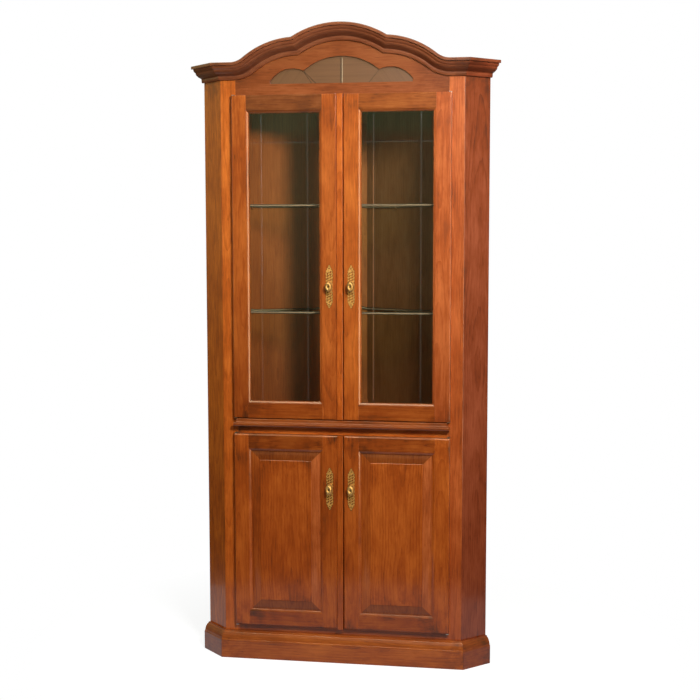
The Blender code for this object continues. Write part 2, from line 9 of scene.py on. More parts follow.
import bmesh
import bpy
import numpy as np
from bpy.props import FloatProperty, FloatVectorProperty, PointerProperty
from mathutils import Matrix, Vector

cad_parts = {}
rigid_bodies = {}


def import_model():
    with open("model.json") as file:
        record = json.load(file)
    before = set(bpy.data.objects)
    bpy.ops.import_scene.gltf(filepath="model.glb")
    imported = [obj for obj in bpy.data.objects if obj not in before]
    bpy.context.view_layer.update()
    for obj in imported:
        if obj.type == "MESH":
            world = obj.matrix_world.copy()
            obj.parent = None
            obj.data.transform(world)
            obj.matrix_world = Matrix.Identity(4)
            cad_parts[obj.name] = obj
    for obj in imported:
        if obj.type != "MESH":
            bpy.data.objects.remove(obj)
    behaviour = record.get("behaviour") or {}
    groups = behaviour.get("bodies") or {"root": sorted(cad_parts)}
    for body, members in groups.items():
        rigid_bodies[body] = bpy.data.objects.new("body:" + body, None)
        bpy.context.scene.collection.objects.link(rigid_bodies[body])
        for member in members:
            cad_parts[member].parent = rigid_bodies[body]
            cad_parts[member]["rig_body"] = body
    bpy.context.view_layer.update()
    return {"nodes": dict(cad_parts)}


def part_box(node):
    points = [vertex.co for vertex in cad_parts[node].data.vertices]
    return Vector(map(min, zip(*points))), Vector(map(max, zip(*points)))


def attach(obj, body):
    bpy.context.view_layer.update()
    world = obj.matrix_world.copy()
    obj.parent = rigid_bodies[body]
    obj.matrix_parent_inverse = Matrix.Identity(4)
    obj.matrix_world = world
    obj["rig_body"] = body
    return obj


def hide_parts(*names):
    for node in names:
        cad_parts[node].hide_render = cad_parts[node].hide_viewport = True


bl_info = {
    "name": "Corner Hutch",
    "version": (1, 0, 0),
    "blender": (4, 5, 0),
    "location": "3D View > Sidebar > Hutch",
    "description": "Builds the looks of a corner hutch with glazed and panelled doors on its frame",
    "category": "Add Mesh",
}

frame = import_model()


def lowest(node):
    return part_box(node)[0]


def highest(node):
    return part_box(node)[1]


def middle(node):
    return (lowest(node) + highest(node)) / 2


# Measures of the frame. The corners are canted at 45 degrees, and what meets at them is mitred at half of that.
face_y = lowest("stile_right").y
half_front = highest("stile_right").x
crown_bottom = lowest("crown_left").z
crown_flat_top = highest("crown_left").z
overall_height = highest("crown_front").z
return_width = (highest("return_right").x - half_front) * math.sqrt(2)
slant = math.sqrt(0.5)
half_cant = 22.5
mitre = math.tan(math.radians(half_cant))
seat_gap, hairline, weld_distance = 0.0003, 0.0001, 1e-6
sides = {"left": -1, "right": 1}
levels = ("upper", "lower")
doors = [(level, side) for level in levels for side in sides]


# Sizes and colours that a user would change.
def plain(name, description, default, **more):
    return FloatProperty(name=name, description=description, default=default, **more)


def length(name, description, default):
    return plain(name, description, default, unit="LENGTH", precision=4)


def share(name, description, default):
    return plain(name, description, default, min=0.0, max=1.0, subtype="FACTOR")


def angle(name, description, degrees):
    return plain(name, description, math.radians(degrees), subtype="ANGLE")


def triple(name, description, default, **more):
    return FloatVectorProperty(name=name, description=description, default=default, size=3, **more)


def colour(name, description, default):
    return triple(name, description, default, min=0.0, max=1.0, subtype="COLOR")


def position(name, description, default):
    return triple(name, description, default, subtype="XYZ", unit="LENGTH")


class HutchMouldings(bpy.types.PropertyGroup):
    """Sizes of the crown, base and waist mouldings."""
    centre_radius: length("Centre arc", "Radius of the arch's middle arc, along the crown's top", 0.300)
    lobe_radius: length("Side arc", "Radius of the arch's side arcs", 0.286)
    lobe_offset: length("Side arc offset", "Distance of the side arcs' centres from the middle", 0.141)
    lobe_drop: length("Side arc drop", "How far the side arcs' tops lie under the middle one's", 0.044)
    foot_radius: length("Foot arc", "Radius of the hollow arc at the arch's foot", 0.070)
    crown_projection: length("Crown projection", "How far the crown stands out",
                             face_y - lowest("crown_front").y)
    base_projection: length("Base projection", "How far the base stands out", face_y - lowest("base_front").y)
    base_board: length("Base board", "Height of the flat board under the base's cap", 0.060)
    waist_projection: length("Waist projection", "How far the waist stands out",
                             face_y - lowest("waist_moulding").y)
    crown_ease: length("Crown edge", "Rounding of the crown's edges", 0.0009)
    corner_round: length("Corner round", "Rounding between a stile and its canted return", 0.004)
    edge_ease: length("Moulding edge", "Rounding of the base's and the waist's edges", 0.0012)


class HutchFan(bpy.types.PropertyGroup):
    """Sizes of the fan light's glass."""
    ray_width: length("Ray width", "Width of a ray's ridge", 0.0042)
    ray_rise: length("Ray rise", "How far a ray stands in front of the glass", 0.0014)


class HutchDoors(bpy.types.PropertyGroup):
    """Sizes of the doors' frames, panes and panels."""
    member: length("Member width", "Width of a frame member", 0.0585)
    sticking: length("Sticking width", "Width of the moulded inner edge", 0.0085)
    sticking_depth: length("Sticking depth", "Depth of the moulded inner edge", 0.0065)
    edge_round: length("Edge rounding", "Rounding of a door's outer edge", 0.004)
    groove_front: length("Groove front", "Distance of the panel groove behind the door's face", 0.008)
    groove_width: length("Groove width", "Width of the panel groove", 0.005)
    groove_depth: length("Groove depth", "Depth of the panel groove", 0.009)
    joint_gap: length("Joint line", "Hairline between a rail and a stile", 0.00015)
    pane_bevel: length("Pane bevel", "Width of the bevel round a pane, from its sight edge", 0.0130)
    pane_bevel_depth: length("Pane bevel depth", "How far the bevel falls at the pane's edge", 0.0010)
    v_inset: length("V-groove inset", "Distance of the upright V-grooves from the sight edge", 0.0405)
    v_drop: length("V-groove drop", "Distance of the level V-groove from the top sight edge", 0.0965)
    v_width: length("V-groove width", "Width of a V-groove", 0.0046)
    v_depth: length("V-groove depth", "Depth of a V-groove", 0.0004)
    panel_lead: length("Panel margin", "Flat margin between the frame and the panel's bevel", 0.002)
    panel_bevel: length("Panel bevel", "Width of the panel's bevel", 0.0285)
    panel_step: length("Panel step", "Small step between the bevel and the field", 0.0020)
    strip_bead: length("Strip bead", "Rounding of the meeting strip's front edges", 0.0022)


class HutchHandles(bpy.types.PropertyGroup):
    """Sizes of the pierced plates and knobs."""
    plate_rim: length("Plate rim", "Rounding of the plate's edges", 0.0008)
    knob_dish: length("Knob dish", "Depth of the hollow in the knob's front", 0.0030)
    knob_width: length("Knob width", "Width of the knob", 0.0240)
    knob_height: length("Knob height", "Height of the knob", 0.0365)


class HutchFinishes(bpy.types.PropertyGroup):
    """Colours of the finishes."""
    cherry_light: colour("Cherry, light", "Lightest colour of the lacquered cherry", (0.700, 0.172, 0.022))
    cherry_mid: colour("Cherry, middle", "Middle colour of the lacquered cherry", (0.450, 0.084, 0.007))
    cherry_dark: colour("Cherry, dark", "Colour of the dark grain and the stained edges", (0.095, 0.025, 0.006))
    # The crown's palette is a darker, greyer copy of the cherry: painted shade over the crown, which overhangs
    # and faces partly down, and a painted pale haze.
    crown_light: colour("Crown, light", "Lightest colour of the browner crown", (0.430, 0.122, 0.040))
    crown_mid: colour("Crown, middle", "Middle colour of the browner crown", (0.275, 0.066, 0.020))
    crown_dark: colour("Crown, dark", "Dark grain of the crown", (0.090, 0.026, 0.009))
    # The inside palette is a lighter copy of the cherry: painted light inside the case, which the lamps reach
    # only through the glass.
    inside_light: colour("Inside, light", "Lightest colour inside the case", (0.740, 0.205, 0.045))
    inside_mid: colour("Inside, middle", "Middle colour inside the case", (0.540, 0.125, 0.020))
    inside_dark: colour("Inside, dark", "Dark grain inside the case", (0.210, 0.045, 0.009))
    brass: colour("Brass", "Aged brass where it is rubbed", (0.900, 0.510, 0.140))
    patina: colour("Patina", "Dark film in the brass's hollows", (0.200, 0.098, 0.026))
    steel: colour("Steel", "Zinc-plated hinges", (0.300, 0.280, 0.250))
    glass: colour("Glass", "Tint of the panes and shelves", (0.900, 0.945, 0.885))
    etched: colour("Etched glass", "Fan light glass over its wooden backing", (0.245, 0.100, 0.036))
    etched_dark: colour("Etched glass, dark", "Dark grain seen through the fan light", (0.160, 0.060, 0.020))
    floor: colour("Floor", "The pale studio floor", (0.300, 0.300, 0.300))
    roughness: share("Lacquer roughness", "Roughness of the lacquered cherry", 0.36)
    coat: share("Lacquer coat", "Weight of the clear coat over the cherry", 0.36)


class HutchStage(bpy.types.PropertyGroup):
    """The camera, the lamps and the background."""
    camera_place: position("Camera", "Where the camera stands", (0.7197, -4.4439, 1.4728))
    camera_turn: angle("Turn", "How far the camera turns to the left of straight ahead", 9.311)
    camera_tilt: angle("Tilt", "How far the camera looks down", 5.429)
    camera_roll: angle("Roll", "How far the camera leans", -0.056)
    lens: plain("Lens", "Focal length on a 36 mm wide sensor, in millimetres", 66.18)
    key_place: position("Key lamp", "Where the key lamp hangs", (1.05, -2.60, 2.45))
    key_size: length("Key size", "Width and height of the key lamp", 0.5)
    key_power: plain("Key power", "Power of the key lamp, in watts", 74.0)
    top_power: plain("Top power", "Power of the top lamp, in watts", 10.0)
    shine_power: plain("Shine power", "Power of each lamp that only shows as a reflection", 100.0)
    fill_power: plain("Fill power", "Power of the fill lamp, in watts", 10.0)
    world_level: plain("World level", "Strength of the soft light from all round", 0.07)
    front_colour: colour("Front colour", "Colour of the room in front, in reflections", (0.640, 0.510, 0.250))
    floor_boost: plain("Floor boost", "What the camera sees on top of the floor's own light", 0.88)


class HutchSettings(bpy.types.PropertyGroup):
    """All of the hutch's settings."""
    mouldings: PointerProperty(type=HutchMouldings)
    fan: PointerProperty(type=HutchFan)
    doors: PointerProperty(type=HutchDoors)
    handles: PointerProperty(type=HutchHandles)
    finishes: PointerProperty(type=HutchFinishes)
    stage: PointerProperty(type=HutchStage)


def chosen(group):
    """One group of the scene's settings."""
    return getattr(bpy.context.scene.corner_hutch, group)


# Shells and outlines as numpy arrays.
def outward(points, quads, caps):
    """Points and faces, turned so that the faces look outwards.

    The volume is the sum of a . (b x c) / 6 over the faces cut into triangles; where it is negative, the
    shell is inside out and each face is reversed.
    """
    a, b, d, e = (points[quads[:, k]] for k in range(4))
    rings = points[caps]
    volume = (a * np.cross(b, d)).sum() + (a * np.cross(d, e)).sum()
    volume += (rings[:, :1] * np.cross(rings[:, 1:-1], rings[:, 2:])).sum()
    way = -1 if volume < 0 else 1
    return points, quads[:, ::way].tolist() + caps[:, ::way].tolist()


def grid_quads(number):
    """Faces between the crossings of a grid of point numbers: (r, c), (r, c+1), (r+1, c+1) and (r+1, c)."""
    return np.stack((number[:-1, :-1], number[:-1, 1:], number[1:, 1:], number[1:, :-1]), -1).reshape(-1, 4)


def wrapped_numbers(points):
    """The numbers of a grid's points, with the first column again after the last."""
    return np.pad(np.arange(points[..., 0].size).reshape(points.shape[:2]), ((0, 0), (0, 1)), mode="wrap")


def closed_shell(points):
    """A closed shell from a grid of points: the columns wrap round, and one face closes each end row."""
    number = wrapped_numbers(points)
    return outward(points.reshape(-1, 3), grid_quads(number), np.stack((number[0, -2::-1], number[-1, :-1])))


def shell_of(x, y, z):
    """A closed shell from the coordinates of a grid of points; one may be given by row or by column alone."""
    return closed_shell(np.stack(np.broadcast_arrays(x, y, z), -1))


def slab(xs, zs, front, back, rim=None):
    """A plate whose front is given at each crossing of xs and zs; its rim and its back are flat.

    The grid gets one more row and column on each side at the back's depth, and the ring round it is the
    back face. rim gives the x of that face's two upright edges, where they don't lie behind the front's.
    """
    wide, tall = np.pad(xs, 1, mode="edge"), np.pad(zs, 1, mode="edge")
    if rim:
        wide[[0, -1]] = rim
    deep = np.pad(front, 1, constant_values=back)
    z, x = np.meshgrid(tall, wide, indexing="ij")
    number = np.arange(deep.size).reshape(deep.shape)
    ring = np.concatenate((number[0, :-1], number[:-1, -1], number[-1, :0:-1], number[:0:-1, 0]))
    return outward(np.stack((x, deep, z), -1).reshape(-1, 3), grid_quads(number), ring[None, ::-1])


def eased(outline, size, steps=4):
    """A closed outline with rounded corners.

    A corner P becomes (1-s)^2 A + 2 s (1-s) P + s^2 B, with A and B at a distance along its two edges of
    size, or a third of the edge if that is less. One more point beyond A and B keeps the flats flat.
    """
    p = np.asarray(outline, float)
    size = np.broadcast_to(np.asarray(size, float), len(p))
    before, after = np.roll(p, 1, 0) - p, np.roll(p, -1, 0) - p
    before_long, after_long = np.linalg.norm(before, axis=1), np.linalg.norm(after, axis=1)
    a = before * (np.minimum(size, before_long / 3) / before_long)[:, None]
    b = after * (np.minimum(size, after_long / 3) / after_long)[:, None]
    s = np.linspace(0.0, 1.0, steps)[:, None, None]
    curve = p + (1 - s) ** 2 * a + s ** 2 * b
    rows = np.concatenate(((p + 1.35 * a)[None], curve, (p + 1.35 * b)[None]))
    return rows.transpose(1, 0, 2).reshape(-1, 2)


def spline(points, steps):
    """A smooth line through points: each span is the cubic with slopes (next - previous) / 2 at its ends."""
    p = np.asarray(points, float)
    wide = np.concatenate((2 * p[:1] - p[1:2], p, 2 * p[-1:] - p[-2:-1]))
    s = np.linspace(0.0, 1.0, steps, endpoint=False)[:, None, None]
    p0, p1, p2, p3 = wide[:-3], wide[1:-2], wide[2:-1], wide[3:]
    cubic = p1 + 0.5 * s * (p2 - p0 + s * (2 * p0 - 5 * p1 + 4 * p2 - p3 + s * (3 * (p1 - p2) + p3 - p0)))
    return np.concatenate((cubic.transpose(1, 0, 2).reshape(-1, p.shape[1]), p[-1:]))


def arc(x, z, radius, start, end, steps):
    """Points (x + radius cos t, z + radius sin t) at equal turns t from start to end; values may be arrays."""
    t = start + (end - start) * np.linspace(0.0, 1.0, steps + 1)[:, None]
    return np.stack((x + radius * np.cos(t), z + radius * np.sin(t)), -1)


def upper_meeting(x, z, radius, x2, z2, radius2):
    """The upper point that is a radius from the first centre and the second radius from the second centre."""
    apart = math.hypot(x2 - x, z2 - z)
    along = (apart ** 2 + radius ** 2 - radius2 ** 2) / (2 * apart)
    off = np.sqrt(radius ** 2 - along ** 2)
    ux, uz = (x2 - x) / apart, (z2 - z) / apart
    return x + along * ux - off * uz, z + along * uz + off * ux


def both_halves(half):
    """Rows from the left end to the right end, from the right half whose first row lies on the middle line."""
    left = half[1:][::-1].copy()
    left[..., 0] *= -1
    return np.concatenate((left, half))


def prism(outline, axis, ends):
    """A shell with the same outline at its two ends, which lie at these places along the axis."""
    return closed_shell(np.stack([np.insert(outline, axis, end, axis=1) for end in ends]))


def welded(name, points, faces, numbers=0):
    """A mesh of faces with their material numbers, whose points that coincide are joined."""
    mesh = bpy.data.meshes.new(name)
    mesh.from_pydata(points, [], faces)
    mesh.polygons.foreach_set("material_index", np.broadcast_to(numbers, len(faces)).astype(np.int32))
    work = bmesh.new()
    work.from_mesh(mesh)
    bmesh.ops.remove_doubles(work, verts=work.verts[:], dist=weld_distance)
    work.to_mesh(mesh)
    work.free()
    return mesh


def shown(mesh, materials, crease=None):
    """The mesh as an object in the scene, smooth but for edges that turn by more than the crease in degrees."""
    for material in materials:
        mesh.materials.append(material)
    if crease is not None:
        mesh.shade_smooth()
        mesh.set_sharp_from_angle(angle=math.radians(crease))
    mesh.validate()
    piece = bpy.data.objects.new(mesh.name, mesh)
    bpy.context.scene.collection.objects.link(piece)
    return piece


def make_piece(name, shells, node, materials, crease=32.0):
    """One object in place of a CAD node, from shells: points, faces and, for some, material numbers."""
    starts = np.cumsum([0] + [len(shell[0]) for shell in shells[:-1]]).tolist()
    faces = [[start + i for i in face] for shell, start in zip(shells, starts) for face in shell[1]]
    numbers = [np.broadcast_to(shell[2] if len(shell) > 2 else 0, len(shell[1])) for shell in shells]
    mesh = welded(name, np.concatenate([shell[0] for shell in shells]), faces, np.concatenate(numbers))
    hang(shown(mesh, materials, crease), node)


def hang(piece, node):
    """The piece rides on the node's body and stands for the node."""
    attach(piece, frame["nodes"][node]["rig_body"])
    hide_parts(node)


# Finishes.
class Recipe:
    """The nodes of a material or a world, each made by naming its kind, what feeds it and its settings."""

    def __init__(self, name, kind="materials"):
        self.made = getattr(bpy.data, kind).new(name)
        self.made.use_nodes = True
        self.tree = self.made.node_tree
        self.tree.nodes.clear()
        self.coordinates = self.add("TexCoord").outputs
        self.place = self.coordinates["Object"]

    def add(self, kind, feeds=None, **settings):
        node = self.tree.nodes.new("ShaderNode" + kind)
        for key, value in settings.items():
            setattr(node, key, value)
        for socket, value in (feeds or {}).items():
            if isinstance(value, bpy.types.NodeSocket):
                self.tree.links.new(value, node.inputs[socket])
            else:
                node.inputs[socket].default_value = value
        return node

    def sum(self, operation, *values):
        return self.add("Math", dict(enumerate(values)), operation=operation).outputs[0]

    def vector(self, operation, *values):
        """A sum of vectors: the node's outputs are a vector and a value."""
        return self.add("VectorMath", dict(enumerate(values)), operation=operation).outputs

    def placed(self, turn, shift):
        """The place turned by a matrix and then shifted."""
        feeds = {"Vector": self.place, "Rotation": turn.to_euler(), "Location": shift}
        return self.add("Mapping", feeds).outputs[0]

    def noise(self, factors, detail=2.0, roughness=0.5, place=None):
        """Noise found after the place is multiplied by a factor, or by three, one for each axis."""
        factors = np.broadcast_to(factors, 3).tolist()
        vector = self.vector("MULTIPLY", place or self.place, factors)[0]
        feeds = {"Vector": vector, "Scale": 1.0, "Detail": detail, "Roughness": roughness}
        return self.add("TexNoise", feeds).outputs[0]

    def spread(self, value, low, high, to_low=0.0, to_high=1.0):
        """The value's range from low to high, stretched to another range and held inside it."""
        feeds = {"Value": value, "From Min": low, "From Max": high, "To Min": to_low, "To Max": to_high}
        return self.add("MapRange", feeds).outputs[0]

    def ramp(self, value, stops):
        """A colour for each value, blended between stops of (value, colour)."""
        node = self.add("ValToRGB", {0: value})
        elements = node.color_ramp.elements
        while len(elements) < len(stops):
            elements.new(0.5)
        for element, (at, shade) in zip(elements, stops):
            element.position = at
            element.color = (*shade, 1.0)
        return node.outputs[0]

    def bump(self, height, strength, distance):
        return self.add("Bump", {"Height": height, "Strength": strength, "Distance": distance}).outputs[0]

    def rays(self, *kinds):
        """1 for rays of these kinds and 0 for all others."""
        path = self.add("LightPath").outputs
        found = path[f"Is {kinds[0]} Ray"]
        for kind in kinds[1:]:
            found = self.sum("MAXIMUM", found, path[f"Is {kind} Ray"])
        return found

    def surface(self, skin, roughness, more):
        return self.add("BsdfPrincipled", {"Base Color": skin, "Roughness": roughness, **more})

    def blend(self, amount, first, second):
        return self.add("MixShader", {0: amount, 1: first.outputs[0], 2: second.outputs[0]})

    def finish(self, shader, output="OutputMaterial"):
        self.add(output, {"Surface": shader.outputs[0]})
        return self.made


def rotation(degrees, axis):
    return Matrix.Rotation(math.radians(degrees), 3, axis)


# The turns that bring each run of grain upright.
GRAINS = {
    "up": Matrix.Identity(3),
    "across": rotation(-90, "Y"),
    "right_wing": rotation(-45, "Z"),
    "left_wing": rotation(45, "Z"),
    "right_run": rotation(-90, "Y") @ rotation(-45, "Z"),
    "left_run": rotation(-90, "Y") @ rotation(45, "Z"),
    "level": Matrix(((0, 1, 0), (0, 0, 1), (1, 0, 0))),
}


def tinted(base, tone):
    """A colour times a tone, which is one number or one for each channel."""
    return tuple(np.clip(np.asarray(base) * tone, 0.0, 1.0).tolist())


PALETTES = {
    "lit": ("cherry_dark", "cherry_mid", "cherry_light"),
    "crown": ("crown_dark", "crown_mid", "crown_light"),
    "inside": ("inside_dark", "inside_mid", "inside_light"),
}

# The heights between which each palette's painted shade fades out, and its deeper, redder tone at the lower
# one. This painted shade darkens the wood towards the floor, and inside the case towards its lower part.
LOW_SHADE_RAMPS = {
    "lit": (0.0, 1.40, (0.78, 0.67, 0.52)),
    "crown": (0.0, 1.40, (0.78, 0.67, 0.52)),
    "inside": (0.80, 1.45, (0.60, 0.52, 0.42)),
}

# A tree's rings are this wide, and the stain reaches this far in from a board's ends and edges.
RING_WIDTH, END_STAIN, EDGE_STAIN = 0.0090, 0.130, 0.020


def cherry(name, centre, half, grain, tone=1.0, seed=0, palette="lit", worn=1.0, figure=1.0, foot=1.0):
    """Cherry sawn from a log: each growth ring is a shell at a distance from the pith.

    The board's place is turned so that z runs along the grain and y goes towards the pith. The ring
    count is (sqrt(x^2 + y^2) + slow wander) / ring width, and its fraction to a high power is the dark
    line that ends a ring. Streaks, mottling and short gum flecks are added. The stain is darker in
    patches towards the board's ends and edges, found from |z| and |x| against half its width and length.
    All of it goes through one ramp of colours, which is then darkened towards the floor as painted shade. worn
    is the strength of that stain, figure that of the rings' dark lines, and foot a further darkening of that
    ramp low down.
    """
    look = chosen("finishes")
    rng = np.random.default_rng(1000 + seed)
    pith = Vector((rng.uniform(-0.020, 0.020), rng.uniform(0.020, 0.040), rng.uniform(-3.0, 3.0)))
    lean = Matrix.Rotation(rng.uniform(-0.050, 0.050), 3, "X")
    turn = lean @ Matrix.Rotation(rng.uniform(-0.012, 0.012), 3, "Y") @ GRAINS[grain]
    wood = Recipe(name)
    board = wood.placed(turn, pith - turn @ Vector(centre))
    own = wood.placed(GRAINS[grain], -(GRAINS[grain] @ Vector(centre)))

    def along(across, up, detail, roughness=0.5):
        """Noise that turns this often in a metre across the grain, and this often along it."""
        return wood.noise((across, across, up), detail, roughness, board)

    def centred(value):
        return wood.spread(value, 0.30, 0.70, -0.5, 0.5)

    wander, ripple = along(5.0, 2.6, 2.0), along(42.0, 10.0, 2.0)
    streak, fibre = along(170.0, 7.0, 2.0, 0.6), along(520.0, 20.0, 2.0, 0.6)
    mottle, slow = along(22.0, 8.0, 4.0, 0.6), along(6.0, 2.2, 1.0)
    fleck = wood.spread(along(330.0, 30.0, 1.0), 0.68, 0.76)
    cloud = wood.noise(15.0, 4.0, 0.65)

    reach = wood.vector("LENGTH", wood.vector("MULTIPLY", board, (1.0, 1.0, 0.0))[0])["Value"]
    reach = wood.sum("MULTIPLY_ADD", wander, 0.045, reach)
    reach = wood.sum("MULTIPLY_ADD", ripple, 0.0050, reach)
    ring = wood.sum("DIVIDE", reach, RING_WIDTH)
    late = wood.sum("POWER", wood.sum("FRACT", ring), 3.5)
    ring_mood = wood.add("TexNoise", {"W": wood.sum("MULTIPLY", ring, 0.45), "Scale": 1.0, "Detail": 1.0},
                         noise_dimensions="1D").outputs[0]
    late = wood.sum("MULTIPLY", late, wood.spread(ring_mood, 0.30, 0.70, 0.20, 1.0))

    apart = wood.add("SeparateXYZ", {0: wood.vector("ABSOLUTE", own)[0]}).outputs
    ends = wood.spread(apart["Z"], half[1] - END_STAIN, half[1])
    edges = wood.spread(apart["X"], half[0] - EDGE_STAIN, half[0], 0.0, 0.40)
    stain = wood.sum("MULTIPLY", wood.sum("MAXIMUM", ends, edges), wood.spread(cloud, 0.42, 0.60))

    shade = wood.spread(mottle, 0.28, 0.72, 0.50, 0.94)
    for value, weight in ((stain, -0.45 * worn), (late, -0.36 * figure), (centred(slow), 0.20),
                          (centred(streak), 0.18), (centred(fibre), 0.22), (fleck, -0.30)):
        shade = wood.sum("MULTIPLY_ADD", value, weight, shade)
    shades = [tinted(getattr(look, key), tone) for key in PALETTES[palette]]
    skin = wood.ramp(shade, list(zip((0.0, 0.55, 1.0), shades)))
    # Painted shade: the colour is darkened towards the floor, and more so where foot is less than one.
    low, high, painted_floor_shade = LOW_SHADE_RAMPS[palette]
    deep = wood.ramp(wood.spread(wood.add("SeparateXYZ", {0: wood.place}).outputs["Z"], low, high),
                     [(0.0, tinted(painted_floor_shade, foot)), (1.0, (1.0, 1.0, 1.0))])
    skin = wood.add("Mix", {0: 1.0, 6: skin, 7: deep}, data_type="RGBA", blend_type="MULTIPLY").outputs[2]

    pores = wood.sum("MULTIPLY_ADD", fibre, 0.7, wood.sum("MULTIPLY", fleck, -1.0))
    bump = wood.bump(wood.sum("MULTIPLY_ADD", late, -0.4, pores), 0.10, 0.0006)
    if palette == "inside":
        shader = wood.surface(skin, wood.spread(fibre, 0.3, 0.7, 0.50, 0.62),
                              {"Normal": bump, "Specular IOR Level": 0.30})
    else:
        rough = wood.spread(fibre, 0.30, 0.70, look.roughness - 0.04, look.roughness + 0.08)
        shader = wood.surface(skin, rough, {"Normal": bump, "Coat Weight": look.coat, "Coat Roughness": 0.13,
                                            "Specular IOR Level": 0.15})
    return wood.finish(shader)


def board_half(node, grain):
    """Half the width across the grain and half the length along it of a CAD board."""
    low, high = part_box(node)
    size = (high - low) / 2
    if grain in ("across", "level"):
        return (size.z if grain == "across" else size.y), size.x
    if grain.endswith("_run"):
        return size.z, size.x * math.sqrt(2)
    return (size.x if grain == "up" else size.x * math.sqrt(2)), size.z


def board_wood(node, grain, tone, seed, palette="lit", worn=1.0, figure=1.0, name=None):
    """Cherry for one CAD board."""
    name = name or f"cherry_{node}"
    return cherry(name, middle(node), board_half(node, grain), grain, tone, seed, palette, worn, figure)


def aged_brass(name, tone=1.0, rough=0.36):
    """Brass with a dark film left in patches, rubbed brighter between them, and fine scratches."""
    look = chosen("finishes")
    metal = Recipe(name)
    patch, grit = metal.noise(300.0, 3.0, 0.6), metal.noise((1500.0, 1500.0, 900.0))
    worn = metal.spread(metal.sum("MULTIPLY_ADD", grit, 0.3, patch), 0.44, 0.74)
    dull = tinted(look.brass, 0.72 * np.array(tone))
    skin = metal.ramp(worn, [(0.0, tinted(look.patina, tone)), (0.55, dull), (1.0, tinted(look.brass, tone))])
    return metal.finish(metal.surface(skin, metal.spread(worn, 0.0, 1.0, rough + 0.16, rough),
                                      {"Metallic": 0.8, "Normal": metal.bump(grit, 0.25, 0.0002)}))


def plated_steel(name):
    """Zinc-plated steel with lengthwise brushing and cloudy patches."""
    look = chosen("finishes")
    metal = Recipe(name)
    brushed, cloud = metal.noise((300.0, 3000.0, 3000.0)), metal.noise(90.0, 3.0)
    skin = metal.ramp(cloud, [(0.25, tinted(look.steel, 0.75)), (0.75, tuple(look.steel))])
    return metal.finish(metal.surface(skin, metal.spread(brushed, 0.3, 0.7, 0.28, 0.42),
                                      {"Metallic": 1.0, "Normal": metal.bump(brushed, 0.15, 0.0002)}))


def clear_glass(name, tint, waver, ground=0.0):
    """Tinted glass with a faint waver in its surface; lamps and bounced light pass straight through it.

    ground is the share of the surface that a wheel has left matt.
    """
    glass = Recipe(name)
    height, smear = glass.noise((14.0, 14.0, 9.0), 1.0), glass.noise((30.0, 30.0, 11.0), 4.0)
    solid = glass.surface((*tint, 1.0), glass.spread(smear, 0.35, 0.75, 4 * ground, 4 * ground + 0.02), {
        "Normal": glass.bump(height, waver, 0.001), "Transmission Weight": 1.0 - ground, "IOR": 1.5})
    straight = glass.add("BsdfTransparent", {"Color": (*tint, 1.0)})
    return glass.finish(glass.blend(glass.rays("Shadow", "Diffuse", "Glossy"), solid, straight))


def ground_glass(name, dark, light):
    """The ground edge of a glass shelf, with faint marks of the wheel between two colours."""
    glass = Recipe(name)
    marks = glass.noise((60.0, 60.0, 2500.0))
    skin = glass.ramp(marks, [(0.3, dark), (0.7, light)])
    rough = glass.spread(marks, 0.3, 0.7, 0.30, 0.42)
    return glass.finish(glass.surface(skin, rough, {"Specular IOR Level": 0.1}))


# Where the fan light's outer rays end, as (x, z), and how far such a ray runs outwards for each metre up.
RAY_END, RAY_LEAN = (0.124, 1.984), 0.895


def etched_glass(name, bright, rough=0.30):
    """Frosted glass laid on wood, whose grain shows through as a faint brown figure.

    The grain is level between the outer rays and slants beyond them, on the side where x - lean z is
    greater than at the ray's end.
    """
    look = chosen("finishes")
    glass = Recipe(name)
    level = glass.noise((5.0, 30.0, 140.0), 3.0, 0.6)
    side = glass.vector("ABSOLUTE", glass.place)[0]
    turned = glass.add("Mapping", {"Vector": side, "Rotation": (0.0, 0.62, 0.0)}).outputs[0]
    slanted = glass.noise((140.0, 30.0, 5.0), 3.0, 0.6, turned)
    split = glass.add("SeparateXYZ", {0: side}).outputs
    past = glass.sum("MULTIPLY_ADD", split["Z"], -RAY_LEAN, split["X"])
    outer = glass.sum("GREATER_THAN", past, RAY_END[0] - RAY_LEAN * RAY_END[1])
    grain = glass.add("Mix", {"Factor": outer, "A": level, "B": slanted}).outputs[0]
    frost = glass.noise(1400.0)
    shade = glass.sum("MULTIPLY_ADD", frost, 0.25, glass.spread(grain, 0.3, 0.7, 0.0, 0.75))
    skin = glass.ramp(shade, [(0.0, tinted(look.etched_dark, bright)), (1.0, tinted(look.etched, bright))])
    return glass.finish(glass.surface(skin, glass.spread(frost, 0.3, 0.7, rough, rough + 0.12), {
        "Normal": glass.bump(frost, 0.2, 0.0003), "Coat Weight": 0.5, "Coat Roughness": 0.08}))


# Each CAD board that keeps its own mesh: which way its grain runs, how light it is and its palette.
CASE_BOARDS = {
    "bottom_rail": ("across", 0.75, "lit"),
    # Lighter: painted light on the strip of the middle rail that lies in the waist's shadow.
    "middle_rail": ("across", (1.15, 1.25, 1.45), "lit"),
    # Darker and greyer: painted shade of the crown over the arched rail.
    "arched_rail": ("across", (0.52, 0.57, 1.1), "lit"),
    "back_left": ("right_wing", (0.70, 0.60, 0.58), "inside"),
    # Darker and greener: painted shade, with a painted green reflection from the panes.
    "back_right": ("left_wing", (0.44, 0.68, 1.25), "inside"),
    # Lighter and greener than the left back: painted light with a painted green reflection.
    "corner_strip": ("up", (0.88, 0.98, 1.10), "inside"),
    "fan_backing": ("across", 0.8, "inside"),
    "top_board": ("level", 0.9, "inside"),
    "middle_deck": ("level", 1.0, "inside"),
    "bottom_board": ("level", 0.9, "inside"),
    "cupboard_shelf": ("level", 1.0, "inside"),
}


